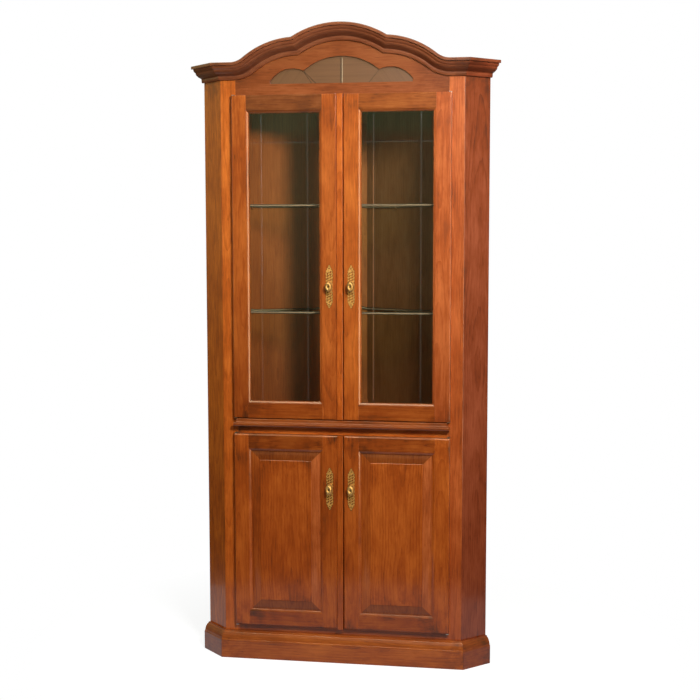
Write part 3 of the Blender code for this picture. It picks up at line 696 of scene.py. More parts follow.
class HUTCH_OT_finish_case(bpy.types.Operator):
    """Finish the case's boards, each with its own run of grain and tone, and the hinges"""
    bl_idname = "hutch.finish_case"
    bl_label = "Finish case and hinges"

    def execute(self, context):
        for number, (node, (grain, tone, palette)) in enumerate(CASE_BOARDS.items()):
            slots = frame["nodes"][node].data.materials
            slots.clear()
            calm = 0.5 if node == "arched_rail" else 1.0
            slots.append(board_wood(node, grain, tone, 10 + number, palette, calm, calm))
        steel = plated_steel("plated_steel")
        for node, piece in frame["nodes"].items():
            if node.endswith(("_leaf", "_bracket")):
                piece.data.materials.clear()
                piece.data.materials.append(steel)
        return {"FINISHED"}


def stile_shell(sizes, side):
    """A stile: its face is a slab with recesses for the hinge plates and a round at the canted corner.

    The round turns by 22.5 degrees and falls by r - r cos t at x = r sin t from the line where it starts,
    which is r tan 22.5 in from the corner.
    """
    low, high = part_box("stile_right")
    radius, recess = sizes.corner_round, 0.0023
    start = half_front - radius * mitre
    turns = np.radians(np.linspace(0.0, half_cant, 6))
    brackets = [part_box(f"{level}_door_right_{end}_hinge_bracket")
                for level in levels for end in ("bottom", "top")]
    pocket_x = np.array((brackets[0][0].x - seat_gap, brackets[0][1].x + seat_gap)).repeat(2)
    pocket_z = np.sort([z for a, b in brackets for z in (a.z - seat_gap, b.z + seat_gap)]).repeat(2)
    xs = np.concatenate(((low.x,), pocket_x, (start - 0.001,), start + radius * np.sin(turns)))
    zs = np.concatenate(((low.z,), pocket_z, (high.z,)))
    fall = np.concatenate((np.zeros(6), radius * (1 - np.cos(turns))))
    in_x = np.isin(np.arange(len(xs)), (2, 3))
    in_z = np.concatenate(((False,), np.tile((False, True, True, False), len(brackets)), (False,)))
    deep = face_y + fall + recess * in_z[:, None] * in_x
    rim = (side * low.x, side * (half_front - (high.y - low.y) * mitre))
    return slab(side * xs, zs, deep, high.y, rim)


def pin_shells(seats, way, radius, long):
    """Shelf pins: circles about each seat, carried along a level way to a rounded tip."""
    across, up = np.array((-way[1], way[0], 0.0)), np.array((0.0, 0.0, 1.0))
    turns = np.linspace(0.0, 2 * math.pi, 16, endpoint=False)[:, None]
    circle = across * np.cos(turns) + up * np.sin(turns)
    rows = np.array(((-0.002, 1.0), (long - 0.0012, 1.0), (long - 0.0004, 0.8), (long, 0.0)))
    rod = rows[:, :1, None] * np.array(way) + rows[:, 1:, None] * radius * circle
    return [closed_shell(rod + np.array(seat)) for seat in seats]


def return_shells(sizes, side):
    """A canted return with the other half of the corner's round, and its shelf pins.

    Each corner of its plan is given by how far it lies along the canted face and how far inward from it.
    """
    low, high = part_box("return_right")
    thick = highest("stile_right").y - face_y
    radius, pin_radius, pin_length = sizes.corner_round, 0.003, 0.011
    turns = np.radians(np.linspace(half_cant, 0.0, 6))
    flats = (radius * mitre + 0.001, return_width, return_width, thick * mitre + seat_gap)
    far = np.concatenate((seat_gap + radius * (mitre - np.sin(turns)), flats))
    inward = np.concatenate((radius * (1 - np.cos(turns)), (0.0, 0.0, thick, thick)))
    plan = np.stack((side * (half_front + (far - inward) * slant), face_y + (far + inward) * slant), -1)
    seat_x = side * (half_front + (return_width / 2 - thick) * slant)
    seat_y = face_y + (return_width / 2 + thick) * slant
    seats = [(seat_x, seat_y, lowest(shelf).z - seat_gap - pin_radius)
             for shelf in ("lower_glass_shelf", "upper_glass_shelf", "cupboard_shelf")]
    pins = pin_shells(seats, (-side * slant, slant, 0.0), pin_radius, pin_length)
    return [prism(plan, 2, (low.z, high.z))] + [(*pin, 1) for pin in pins]


class HUTCH_OT_add_corners(bpy.types.Operator):
    """Build the two stiles and the two canted returns, with a rounded corner between them"""
    bl_idname = "hutch.add_corners"
    bl_label = "Add stiles and returns"

    def execute(self, context):
        sizes = chosen("mouldings")
        steel = plated_steel("pin_steel")
        # The sides' tones differ: the left return is lighter and the right one darker, painted light and shade
        # of each side; the right stile's and right return's extra blue is a painted sheen.
        stiles = {"left": (1.20, 1.30, 1.30), "right": (0.98, 1.00, 1.85)}
        returns = {"left": (1.30, 1.42, 0.90), "right": (0.66, 0.60, 1.80)}
        for count, (name, side) in enumerate(sides.items()):
            node = f"stile_{name}"
            wood = board_wood(node, "up", stiles[name], 31 + count, worn=0.8)
            make_piece(f"{node}_board", [stile_shell(sizes, side)], node, [wood], crease=20.0)
            node = f"return_{name}"
            wood = board_wood(node, f"{name}_wing", returns[name], 35 + count, worn=1.3)
            make_piece(f"{node}_board", return_shells(sizes, side), node, [wood, steel], crease=20.0)
        return {"FINISHED"}


def crown_section(sizes):
    """The crown's section as (projection, height): cove, quirk, ovolo and a square top member."""
    shares = ((0.0, 0.0), (0.17, 0.0), (0.19, 0.06), (0.21, 0.15), (0.20, 0.22), (0.24, 0.26), (0.34, 0.30),
              (0.46, 0.36), (0.54, 0.42), (0.59, 0.44), (0.63, 0.50), (0.65, 0.56), (0.66, 0.59), (0.72, 0.63),
              (0.77, 0.66), (0.81, 0.71), (0.83, 0.78), (0.83, 0.81), (1.0, 0.81), (1.0, 0.97), (0.97, 1.0),
              (0.0, 1.0))
    scale = np.array((sizes.crown_projection - seat_gap, crown_flat_top - crown_bottom))
    return eased(np.array(shares) * scale + (seat_gap, 0.0), sizes.crown_ease)


def base_section(sizes):
    """The base board and its moulded cap as (projection, height)."""
    tall, wide, board = highest("base_front").z, sizes.base_projection, sizes.base_board
    cap = np.array(((0.98, 0.10), (0.90, 0.13), (0.88, 0.25), (0.76, 0.55), (0.52, 0.80), (0.28, 0.92),
                    (0.28, 1.0)))
    rows = [(seat_gap, 0.0), (wide, 0.0), (wide, board)]
    rows += (cap * (wide, tall - board) + (0.0, board)).tolist()
    return eased(rows + [(seat_gap, tall)], sizes.edge_ease)


def arch_line(sizes, above):
    """The crown's right half at heights above its lower edge: (station, height, x and z).

    It is an arc round the middle, an arc beside it, both less by what the height lacks to the top, and a
    hollow arc that is more by the same, so that all lines stay parallel.
    """
    shrink = crown_flat_top - crown_bottom - above
    centre_z = overall_height - sizes.centre_radius
    lobe_z = overall_height - sizes.lobe_drop - sizes.lobe_radius
    foot_z = crown_flat_top + sizes.foot_radius
    lobe_x = sizes.lobe_offset
    foot_x = lobe_x + math.sqrt((sizes.lobe_radius + sizes.foot_radius) ** 2 - (foot_z - lobe_z) ** 2)
    inner, outer = sizes.centre_radius - shrink, sizes.lobe_radius - shrink
    cusp_x, cusp_z = upper_meeting(0.0, centre_z, inner, lobe_x, lobe_z, outer)
    turn_to = math.atan2(foot_z - lobe_z, foot_x - lobe_x)
    centre = arc(0.0, centre_z, inner, math.pi / 2, np.arctan2(cusp_z - centre_z, cusp_x), 28)
    lobe = arc(lobe_x, lobe_z, outer, np.arctan2(cusp_z - lobe_z, cusp_x - lobe_x), turn_to, 26)
    foot = arc(foot_x, foot_z, sizes.foot_radius + shrink, turn_to - math.pi, -math.pi / 2, 16)
    return np.concatenate((centre[:-1], lobe[:-1], foot))


def front_moulding(section, half):
    """A section carried across the front along lines of (x, z), with both ends mitred at the canted corners."""
    out = section[:, 0]
    end = np.stack((half_front + out * mitre - seat_gap, half[-1, :, 1]), -1)[None]
    line = both_halves(np.concatenate((half, end)))
    return shell_of(line[..., 0], face_y - out, line[..., 1])


def wing_moulding(section, low, side):
    """A section carried along a canted return: (distance - inward, distance + inward) turned by 45 degrees."""
    out, high = section.T
    far = np.stack((seat_gap - out * mitre, np.full_like(out, return_width)))
    x = side * (half_front + (far + out) * slant)
    y = face_y + (far - out) * slant
    return shell_of(x, y, low + high)


def moulding_runs(stem, section, half, low, seed):
    """The front and the two canted runs of a moulding: (node, shell, grain, seed of its wood) for each."""
    runs = [(f"{stem}_front", front_moulding(section, half), "across", seed)]
    return runs + [(f"{stem}_{name}", wing_moulding(section, low, side), f"{name}_run", seed + 2 + side)
                   for name, side in sides.items()]


# Each run of the crown: its wood's tone, and the name and tone of the darker wood in its hollow. That darker
# wood is painted shade in the cove, which faces down; the runs' tones, which differ from side to side, paint
# how each side is lit.
CROWN_WOODS = {
    "crown_front": ((0.74, 0.80, 0.90), "cherry_crown_painted_shade", (0.54, 0.58, 0.68)),
    "crown_left": ((1.06, 1.26, 1.42), "cherry_crown_left_painted_shade", (0.92, 1.18, 1.50)),
    "crown_right": ((0.96, 0.74, 0.80), "cherry_crown_right_painted_shade", (0.64, 0.50, 0.52)),
}


class HUTCH_OT_add_crown(bpy.types.Operator):
    """Build the arched crown moulding and its two mitred returns"""
    bl_idname = "hutch.add_crown"
    bl_label = "Add crown"

    def execute(self, context):
        sizes = chosen("mouldings")
        section = crown_section(sizes)
        # Painted shade: a darker wood goes on the cove, the part that leans out over the hutch and faces down,
        # between these shares of the height.
        share_up = section[:, 1] / (crown_flat_top - crown_bottom)
        dark = (share_up > 0.25) & (share_up < 0.53) & (section[:, 0] > 0.2 * sizes.crown_projection)
        runs = moulding_runs("crown", section, arch_line(sizes, section[:, 1]), crown_bottom, 41)
        for node, (points, faces), grain, seed in runs:
            tone, cove_shade_name, cove_shade_tone = CROWN_WOODS[node]
            woods = [board_wood(node, grain, tone, seed, "crown", figure=0.3),
                     board_wood(node, grain, cove_shade_tone, seed, "crown", figure=0.3, name=cove_shade_name)]
            hollow = dark[np.arange(len(faces)) % len(section)]
            make_piece(f"{node}_moulding", [(points, faces, hollow)], node, woods)
        return {"FINISHED"}


class HUTCH_OT_add_base(bpy.types.Operator):
    """Build the base moulding in three mitred runs"""
    bl_idname = "hutch.add_base"
    bl_label = "Add base"

    def execute(self, context):
        section = base_section(chosen("mouldings"))
        line = np.stack((np.zeros(len(section)), section[:, 1]), -1)[None]
        for node, shell, grain, seed in moulding_runs("base", section, line, 0.0, 51):
            tone = (1.00, 1.12, 1.20) if node == "base_front" else (0.70, 0.60, 0.45)
            make_piece(f"{node}_moulding", [shell], node, [board_wood(node, grain, tone, seed)])
        return {"FINISHED"}


class HUTCH_OT_add_waist(bpy.types.Operator):
    """Build the waist moulding, whose ends return to the case"""
    bl_idname = "hutch.add_waist"
    bl_label = "Add waist"

    def execute(self, context):
        sizes = chosen("mouldings")
        low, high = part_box("waist_moulding")
        shares = np.array(((0.0, 0.0), (0.60, 0.0), (0.70, 0.08), (0.72, 0.40), (0.78, 0.48), (0.97, 0.60),
                           (1.0, 0.66), (1.0, 0.84), (0.90, 1.0), (0.0, 1.0)))
        scale = (sizes.waist_projection - seat_gap, low.z - high.z)
        section = eased(shares * scale + (seat_gap, high.z), sizes.edge_ease)
        out, level = section.T
        # At projection p the plan is a rectangle p deep, whose ends stand in by what p lacks to the full one.
        end = high.x - (sizes.waist_projection - out)
        x = np.stack((-end, -end, end, end))
        y = face_y - np.stack((np.full_like(out, seat_gap), out, out, np.full_like(out, seat_gap)))
        shell = shell_of(x, y, level)
        wood = board_wood("waist_moulding", "across", (0.60, 0.57, 0.45), 61, worn=0.5, figure=0.6)
        make_piece("waist_run", [shell], "waist_moulding", [wood])
        return {"FINISHED"}


def node_outline(node, across, up):
    """A flat node's outline in two of its axes: its own corners, in order round the middle."""
    mesh = frame["nodes"][node].data
    points = np.empty(len(mesh.vertices) * 3)
    mesh.vertices.foreach_get("co", points)
    corners = np.unique(points.reshape(-1, 3)[:, [across, up]].round(6), axis=0)
    spokes = corners - (corners.max(0) + corners.min(0)) / 2
    return corners[np.argsort(np.arctan2(spokes[:, 1], spokes[:, 0]))]


def ray(start, end, width, front, rise, back):
    """A ridge from start to end: a flat triangle of a width, with its crest a rise in front of the glass."""
    start, end = np.array(start), np.array(end)
    along = (end - start) / np.linalg.norm(end - start)
    across = np.array((-along[1], along[0])) * width / 2
    feet = np.stack((start, end))
    section = ((-1, back), (-1, front), (0, front - rise), (1, front), (1, back))
    return closed_shell(np.stack([np.insert(feet + k * across, 1, y, axis=1) for k, y in section], 1))


class HUTCH_OT_add_fan_glass(bpy.types.Operator):
    """Build the fan light's etched glass with its raised rays"""
    bl_idname = "hutch.add_fan_glass"
    bl_label = "Add fan glass"

    def execute(self, context):
        sizes = chosen("fan")
        low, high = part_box("fan_glass")
        shells = [prism(node_outline("fan_glass", 0, 2), 1, (low.y, high.y))]
        wide, foot, top = sizes.ray_width, low.z + 0.006, high.z - 0.012
        end_x, end_z = RAY_END
        # Each ray: x at its foot, (x, z) at its end, width, and whether it is ground (1) or dark (2). The
        # middle pair paints one groove: the ground ridge takes the light, and the dark one on its left is
        # painted shade; the two dark rays further left are seams.
        rays = ((wide * 0.55, (wide * 0.55, top), wide, 1), (-wide * 0.55, (-wide * 0.55, top), wide * 0.8, 2),
                (-0.084, (-end_x, end_z), wide * 0.5, 2), (-0.098, (-0.126, end_z), wide * 0.5, 2),
                (0.090, (end_x, end_z), wide * 0.45, 1))
        for x, end, width, number in rays:
            shells.append((*ray((x, foot), end, width, low.y, sizes.ray_rise, low.y + 0.001), number))
        glasses = [etched_glass("etched_glass", (0.74, 0.68, 0.60)),
                   etched_glass("ground_ray", (0.52, 0.62, 0.70), 0.60), etched_glass("dark_seam_and_painted_shade", 0.36, 0.60)]
        make_piece("fan_light", shells, "fan_glass", glasses, crease=5.0)
        return {"FINISHED"}


# The turns in degrees, from below to above, at which a shelf's round edge is drawn.
RIM_TURNS = (-90, -80, -60, -40, -20, 0, 20, 40, 60, 80, 90)


def rim_shell(outline, low, high):
    """A level plate with a round edge: at the turn t, drawn in by r (1 - cos t) at the height r sin t.

    A corner is drawn in along the sum of its two edges' inward normals over one plus their dot product.
    """
    after = np.roll(outline, -1, 0) - outline
    normal = np.stack((-after[:, 1], after[:, 0]), -1) / np.linalg.norm(after, axis=1)[:, None]
    before = np.roll(normal, 1, 0)
    inward = (normal + before) / (1 + (normal * before).sum(1))[:, None]
    turns = np.radians(RIM_TURNS)
    radius = (high - low) / 2
    rows = zip((low + high) / 2 + radius * np.sin(turns), radius * (1 - np.cos(turns)))
    return closed_shell(np.stack([np.insert(outline + d * inward, 2, z, axis=1) for z, d in rows]))


class HUTCH_OT_add_shelves(bpy.types.Operator):
    """Build the two glass shelves with polished edges"""
    bl_idname = "hutch.add_shelves"
    bl_label = "Add glass shelves"

    def execute(self, context):
        glasses = [clear_glass("shelf_glass", tinted(chosen("finishes").glass, 1.05), 0.05),
                   ground_glass("shelf_rim", (0.105, 0.082, 0.062), (0.150, 0.120, 0.095)),
                   ground_glass("shelf_edge_painted_glow", (0.42, 0.24, 0.16), (0.62, 0.36, 0.25))]
        bands = len(RIM_TURNS) - 1
        for name in ("lower", "upper"):
            node = f"{name}_glass_shelf"
            low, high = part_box(node)
            outline = node_outline(node, 0, 1)
            points, faces = rim_shell(outline, low.z, high.z)
            # The rim's bands of faces are dark, but for the two in the middle, which are lighter: a painted
            # glow of the light that gathers in the glass's edge.
            band = np.arange(len(faces)) // len(outline)
            bright = (band == bands // 2 - 1) | (band == bands // 2)
            which = np.where(band < bands, np.where(bright, 2, 1), 0)
            make_piece(f"{name}_shelf_plate", [(points, faces, which)], node, glasses, crease=20.0)
        return {"FINISHED"}


# A door's upper and lower edge, as (in from the edge, behind the front): a narrow chamfer with soft arrises.
EDGE = np.array(((0.0, 0.0045), (0.0003, 0.0034), (0.0009, 0.0027), (0.0036, 0.0009), (0.0045, 0.0003),
                 (0.0058, 0.0)))


def door_section(sizes, thick, edge):
    """Half of a door frame's section as (in from the edge, behind the front): outer edge, quirk, ovolo, groove.

    The ovolo's depth is 0.14 + 0.638 s + 0.364 s^2 of the sticking's, where s runs from 0 to 0.74 of its width.
    """
    flat, full = sizes.member - sizes.sticking, sizes.member
    arris, back_arris = 0.0003, 0.0015
    s = np.linspace(0.0, 0.74, 7)
    ovolo = np.stack((0.06 + s, 0.14 + 0.638 * s + 0.364 * s ** 2), -1)
    bead = np.concatenate((((0.0, 0.0), (0.04, 0.14)), ovolo, ((0.83, 0.93), (1.0, 0.93), (1.0, 1.0))))
    front, back, deep = sizes.groove_front, sizes.groove_front + sizes.groove_width, full - sizes.groove_depth
    rows = np.concatenate((((0.0, thick),), edge, bead * (sizes.sticking, sizes.sticking_depth) + (flat, 0.0),
                           ((full, front), (deep, front), (deep, back), (full, back), (full, thick))))
    ease = np.full(len(rows), arris)
    ease[0] = back_arris
    if len(edge) == 1:
        ease[1] = sizes.edge_round
    return eased(rows, ease, 6)


def frame_members(sizes, node, chamfer):
    """Two stiles that run the door's full height and two rails between them, with their sticking mitred.

    For a point at u in from the edge, a stile's inner part ends where it meets the rail's at 45 degrees:
    at a height of max(u, flat) from the door's end, while the part up to the flat's width runs on. A
    stile's end is chamfered like the rail's edge: no point of it lies less behind the front than the
    chamfer does.
    """
    low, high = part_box(node)
    thick = high.y - low.y
    flat = sizes.member - sizes.sticking
    z0, z1 = low.z + hairline, high.z - hairline
    u, v = door_section(sizes, thick, np.zeros((1, 2))).T
    short, deep = np.minimum(u, flat), np.maximum(u, flat)
    edge = np.concatenate((chamfer, ((0.0075, 0.0),)))
    end_z, end_v = edge[:, :1] + 0 * u, np.maximum(v, edge[:, 1:])
    in_stile = np.concatenate((np.broadcast_to(short, end_z.shape), (short, u, u, short),
                               np.broadcast_to(short, end_z.shape)))
    along = np.concatenate((z0 + end_z, (z0 + flat + 0 * u, z0 + deep, z1 - deep, z1 - flat + 0 * u),
                            (z1 - end_z)[::-1]))
    y = low.y + np.concatenate((end_v, np.broadcast_to(v, (4, len(v))), end_v[::-1]))
    shells = []
    for number, (side, way) in enumerate(((low.x, 1), (high.x, -1))):
        shells.append((*shell_of(side + way * in_stile, y, along), number))
    u, v = door_section(sizes, thick, chamfer).T
    short, deep = np.minimum(u, flat), np.maximum(u, flat)
    gap = sizes.joint_gap
    in_rail = np.stack((short, u, u, short))
    along = np.stack((low.x + flat + gap + 0 * u, low.x + deep + gap, high.x - deep - gap,
                      high.x - flat - gap + 0 * u))
    for number, (side, way) in enumerate(((z0, 1), (z1, -1))):
        shells.append((*shell_of(along, low.y + v, side + way * in_rail), 2 + number))
    return shells


# Tones of each door's left stile, right stile, bottom rail and top rail.
FRAME_TONES = {
    # The upper doors' top rails are darker, painted shade of the crown; the upper right door's right stile has
    # extra blue, a painted sheen.
    "upper_left": ((0.86, 0.86, 0.85), (0.90, 0.92, 1.05), 0.74, (0.46, 0.58, 1.15)),
    "upper_right": ((1.02, 1.08, 1.10), (1.00, 1.02, 1.85), 0.71, (0.64, 0.74, 0.86)),
    "lower_left": (0.96, 0.88, (0.76, 0.70, 0.45), 0.62),
    "lower_right": (0.92, 0.96, (0.74, 0.70, 0.45), 0.70),
}
# How strongly the doors' ends are stained, and how much of the chamfer they have.
FRAME_WORN = {"upper": 0.55, "lower": 1.0}
FRAME_CHAMFER = {"upper": 0.15, "lower": 1.0}


class HUTCH_OT_add_door_frames(bpy.types.Operator):
    """Build the four door frames, each of two stiles and two rails"""
    bl_idname = "hutch.add_door_frames"
    bl_label = "Add door frames"

    def execute(self, context):
        sizes = chosen("doors")
        for count, (level, name) in enumerate(doors):
            node = f"{level}_door_{name}_frame"
            low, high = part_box(node)
            mid, half = middle(node), sizes.member / 2
            stile, rail = (half, (high.z - low.z) / 2), (half, (high.x - low.x) / 2 - sizes.member)
            members = (("stile_a", "up", (low.x + half, mid.y, mid.z), stile),
                       ("stile_b", "up", (high.x - half, mid.y, mid.z), stile),
                       ("rail_a", "across", (mid.x, mid.y, low.z + half), rail),
                       ("rail_b", "across", (mid.x, mid.y, high.z - half), rail))
            woods = []
            for k, (member, grain, centre, board) in enumerate(members):
                # The upper doors' outer stiles darken low down: the first door's left, the second's right.
                foot = (0.40, 0.25, 0.10) if level == "upper" and k == count else 1.0
                woods.append(cherry(f"cherry_{level}_{name}_{member}", centre, board, grain,
                                    FRAME_TONES[f"{level}_{name}"][k], 70 + 4 * count + k,
                                    worn=FRAME_WORN[level], foot=foot))
            shells = frame_members(sizes, node, EDGE * FRAME_CHAMFER[level])
            make_piece(f"{level}_{name}_door_members", shells, node, woods, crease=28.0)
        return {"FINISHED"}


class HUTCH_OT_add_panes(bpy.types.Operator):
    """Build the two panes with a bevel round the edge and V-grooves"""
    bl_idname = "hutch.add_panes"
    bl_label = "Add panes"

    def execute(self, context):
        sizes, tint = chosen("doors"), tuple(chosen("finishes").glass)
        glasses = [clear_glass("pane_glass", tint, 0.10), clear_glass("ground_groove", tint, 0.10, 0.022)]
        for name in sides:
            node = f"upper_door_{name}_glass"
            low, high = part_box(node)
            hidden = sizes.member - (low.x - lowest(f"upper_door_{name}_frame").x)
            bevel = hidden + sizes.pane_bevel
            half = sizes.v_width / 2
            grooves_x = np.array((low.x + hidden + sizes.v_inset, high.x - hidden - sizes.v_inset))
            groove_z = np.array((high.z - hidden - sizes.v_drop,))

            def breaks(start, end, grooves):
                near = np.linspace(0.0, bevel, 9)
                around = (grooves[:, None] + np.array((-half, 0.0, half))).ravel()
                return np.unique(np.concatenate((start + near, end - near, around)).round(7))

            def fall(at, start, end, grooves):
                edge = np.minimum(at - start, end - at)
                slope = np.clip(1 - edge / bevel, 0, 1) * sizes.pane_bevel_depth
                vee = np.clip(1 - np.abs(at[:, None] - grooves).min(1) / half, 0, 1) * sizes.v_depth
                return np.maximum(slope, vee)

            xs, zs = breaks(low.x, high.x, grooves_x), breaks(low.z, high.z, groove_z)
            fall_x, fall_z = fall(xs, low.x, high.x, grooves_x), fall(zs, low.z, high.z, groove_z)
            depth = np.maximum(fall_z[:, None], fall_x[None])
            points, faces = slab(xs, zs, low.y + depth, high.y)
            centre = points[np.array(faces[:-1])].mean(1)
            apart_x, apart_z = np.abs(centre[:, :1] - grooves_x).min(1), np.abs(centre[:, 2:] - groove_z).min(1)
            in_front = centre[:, 1] < low.y + sizes.pane_bevel_depth + hairline
            # The last face, which isn't among these, is the pane's back.
            ground = np.append((np.minimum(apart_x, apart_z) < half) & in_front, False)
            make_piece(f"upper_{name}_pane", [(points, faces, ground)], node, glasses, crease=3.0)
        return {"FINISHED"}


class HUTCH_OT_add_panels(bpy.types.Operator):
    """Build the two raised panels of the lower doors"""
    bl_idname = "hutch.add_panels"
    bl_label = "Add panels"

    def execute(self, context):
        sizes = chosen("doors")
        for count, name in enumerate(sides):
            node = f"lower_door_{name}_panel"
            low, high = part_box(node)
            tongue, play = sizes.groove_depth - seat_gap, 0.0005
            lead = tongue + sizes.panel_lead
            field = lead + sizes.panel_bevel
            margin = lowest(f"lower_door_{name}_frame").y + sizes.groove_front + play
            step = low.y + sizes.panel_step
            rise = step - margin
            bevel = [(lead + a * sizes.panel_bevel, margin + b * rise) for a, b in
                     ((0.10, 0.18), (0.25, 0.42), (0.45, 0.66), (0.70, 0.86), (1.0, 1.0))]
            rows = np.array(((0.0, high.y), (0.0, margin), (lead, margin), *bevel,
                             (field + hairline, low.y + 0.0007), (field + 0.0009, low.y)))
            u, y = rows.T
            x = np.stack((low.x + u, high.x - u, high.x - u, low.x + u), -1)
            z = np.stack((low.z + u, low.z + u, high.z - u, high.z - u), -1)
            points, faces = shell_of(x, y[:, None], z)
            # The bevels at the panel's top and foot cut across the grain and take a darker stain, and their
            # darkness also paints the shade that falls on them. The right bevel is lighter and pinker, a
            # painted sheen of the light from the right, and the left one darker, painted shade; both cut
            # through the rings at a slant.
            number = np.arange(len(faces))
            on_bevel = (number >= 4) & (number < 4 * (len(rows) - 3))
            which = np.where(on_bevel, np.array((1, 2, 1, 3))[number % 4], 0)
            woods = [board_wood(node, "up", 0.95, 91 + count)]
            woods += [cherry(f"cherry_{node}_{key}", middle(node), (1.0, 3.0), "up", tone, 91 + count)
                      for key, tone in (("ends", 0.50), ("right", (0.98, 1.10, 2.2)), ("left", 0.78))]
            shell = (points, faces, which)
            make_piece(f"lower_{name}_raised_panel", [shell], node, woods, crease=8.0)
        return {"FINISHED"}


class HUTCH_OT_add_meeting_strips(bpy.types.Operator):
    """Build the two meeting strips with rounded fronts"""
    bl_idname = "hutch.add_meeting_strips"
    bl_label = "Add meeting strips"

    def execute(self, context):
        bead = chosen("doors").strip_bead
        for count, level in enumerate(levels):
            node = f"{level}_meeting_strip"
            low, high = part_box(node)
            corners = ((low.x, high.y), (low.x, low.y), (high.x, low.y), (high.x, high.y))
            plan = eased(corners, (0.0004, bead, bead, 0.0004), 7)
            wood = board_wood(node, "up", (1.12, 0.95)[count], 95 + count, worn=0.3)
            make_piece(f"{level}_strip", [prism(plan, 2, (low.z, high.z))], node, [wood])
        return {"FINISHED"}


def plate_lines(wide, tall):
    """The plate's edge and its piercings as closed lines of (x, z), smooth through shares of its half sizes."""
    quarter = np.array(((0.0, 1.0), (0.24, 0.94), (0.34, 0.87), (0.62, 0.84), (0.60, 0.78), (0.94, 0.72),
                        (0.80, 0.65), (1.0, 0.58), (0.80, 0.50), (1.0, 0.42), (0.78, 0.34), (0.96, 0.26),
                        (0.72, 0.20), (0.95, 0.12), (0.86, 0.0)))
    right = np.concatenate((quarter, quarter[-2::-1] * (1, -1)))
    edge = np.concatenate((spline(right, 4)[:-1], spline(right[::-1] * (-1, 1), 4)[:-1]))
    turns = np.linspace(0.0, 2 * math.pi, 14, endpoint=False)
    drop = np.stack((np.cos(turns) * (1 - 0.35 * np.sin(turns)), np.sin(turns)), -1)
    # Each piercing: across, up, half width, half height, lean. Slots in two files, then drops at the tip.
    ups = np.arange(0.285, 0.76, 0.120)
    files = [np.stack((across + 0 * ups, ups + rise, 0.185 + 0 * ups, 0.068 + 0 * ups, -0.85 + 0 * ups), -1)
             for across, rise in ((0.39, 0.030), (-0.39, -0.030))]
    tip = np.array(((0.0, 0.835, 0.20, 0.034, 0.0), (0.0, 0.915, 0.11, 0.022, 0.0)))
    holes = np.concatenate((*files, tip))
    holes = np.concatenate((holes, holes * (1, -1, 1, 1, 1)))
    c, s = np.cos(holes[:, 4:]), np.sin(holes[:, 4:])
    a, b = drop[:, 0] * holes[:, 2:3] * wide / 2, drop[:, 1] * holes[:, 3:4] * tall / 2
    x = holes[:, :1] * wide / 2 + a * c - b * s
    z = holes[:, 1:2] * tall / 2 + a * s + b * c
    return [edge * (wide / 2, tall / 2)] + list(np.stack((x, z), -1))


class HUTCH_OT_add_plates(bpy.types.Operator):
    """Build the four pierced back plates from a flat outline with holes"""
    bl_idname = "hutch.add_plates"
    bl_label = "Add back plates"

    def execute(self, context):
        rim = chosen("handles").plate_rim
        brasses = [aged_brass("aged_brass_plate", (1.00, 0.92, 0.95)), aged_brass("brass_rim_patina_and_painted_shade", 0.12, 0.5)]
        for level, name in doors:
            node = f"{level}_door_{name}_plate"
            low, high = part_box(node)
            flat = bpy.data.curves.new(node, "CURVE")
            flat.dimensions, flat.fill_mode = "2D", "BOTH"
            for line in plate_lines(high.x - low.x - 2 * rim, high.z - low.z - 2 * rim):
                made = flat.splines.new("POLY")
                made.points.add(len(line) - 1)
                made.points.foreach_set("co", np.pad(line, ((0, 0), (0, 2))).ravel())
                made.use_cyclic_u = True
            flat.extrude = (high.y - low.y) / 2 - rim
            flat.bevel_depth, flat.bevel_resolution = rim, 1
            pattern = bpy.data.objects.new("plate_pattern", flat)
            mesh = bpy.data.meshes.new_from_object(pattern)
            bpy.data.objects.remove(pattern)
            mesh.transform(Matrix.Translation(middle(node)) @ Matrix.Rotation(math.radians(90), 4, "X"))
            mesh.name = f"{level}_{name}_back_plate"
            mesh.materials.clear()
            # The dark film stays on every face that leans away from the front: the rims and the piercings'
            # walls. It is patina, and also painted shade that makes the piercings look deep.
            facing = np.zeros(len(mesh.polygons) * 3)
            mesh.polygons.foreach_get("normal", facing)
            mesh.polygons.foreach_set("material_index", (np.abs(facing[1::3]) < 0.95).astype(np.int32))
            hang(shown(mesh, brasses, 35.0), node)
        return {"FINISHED"}


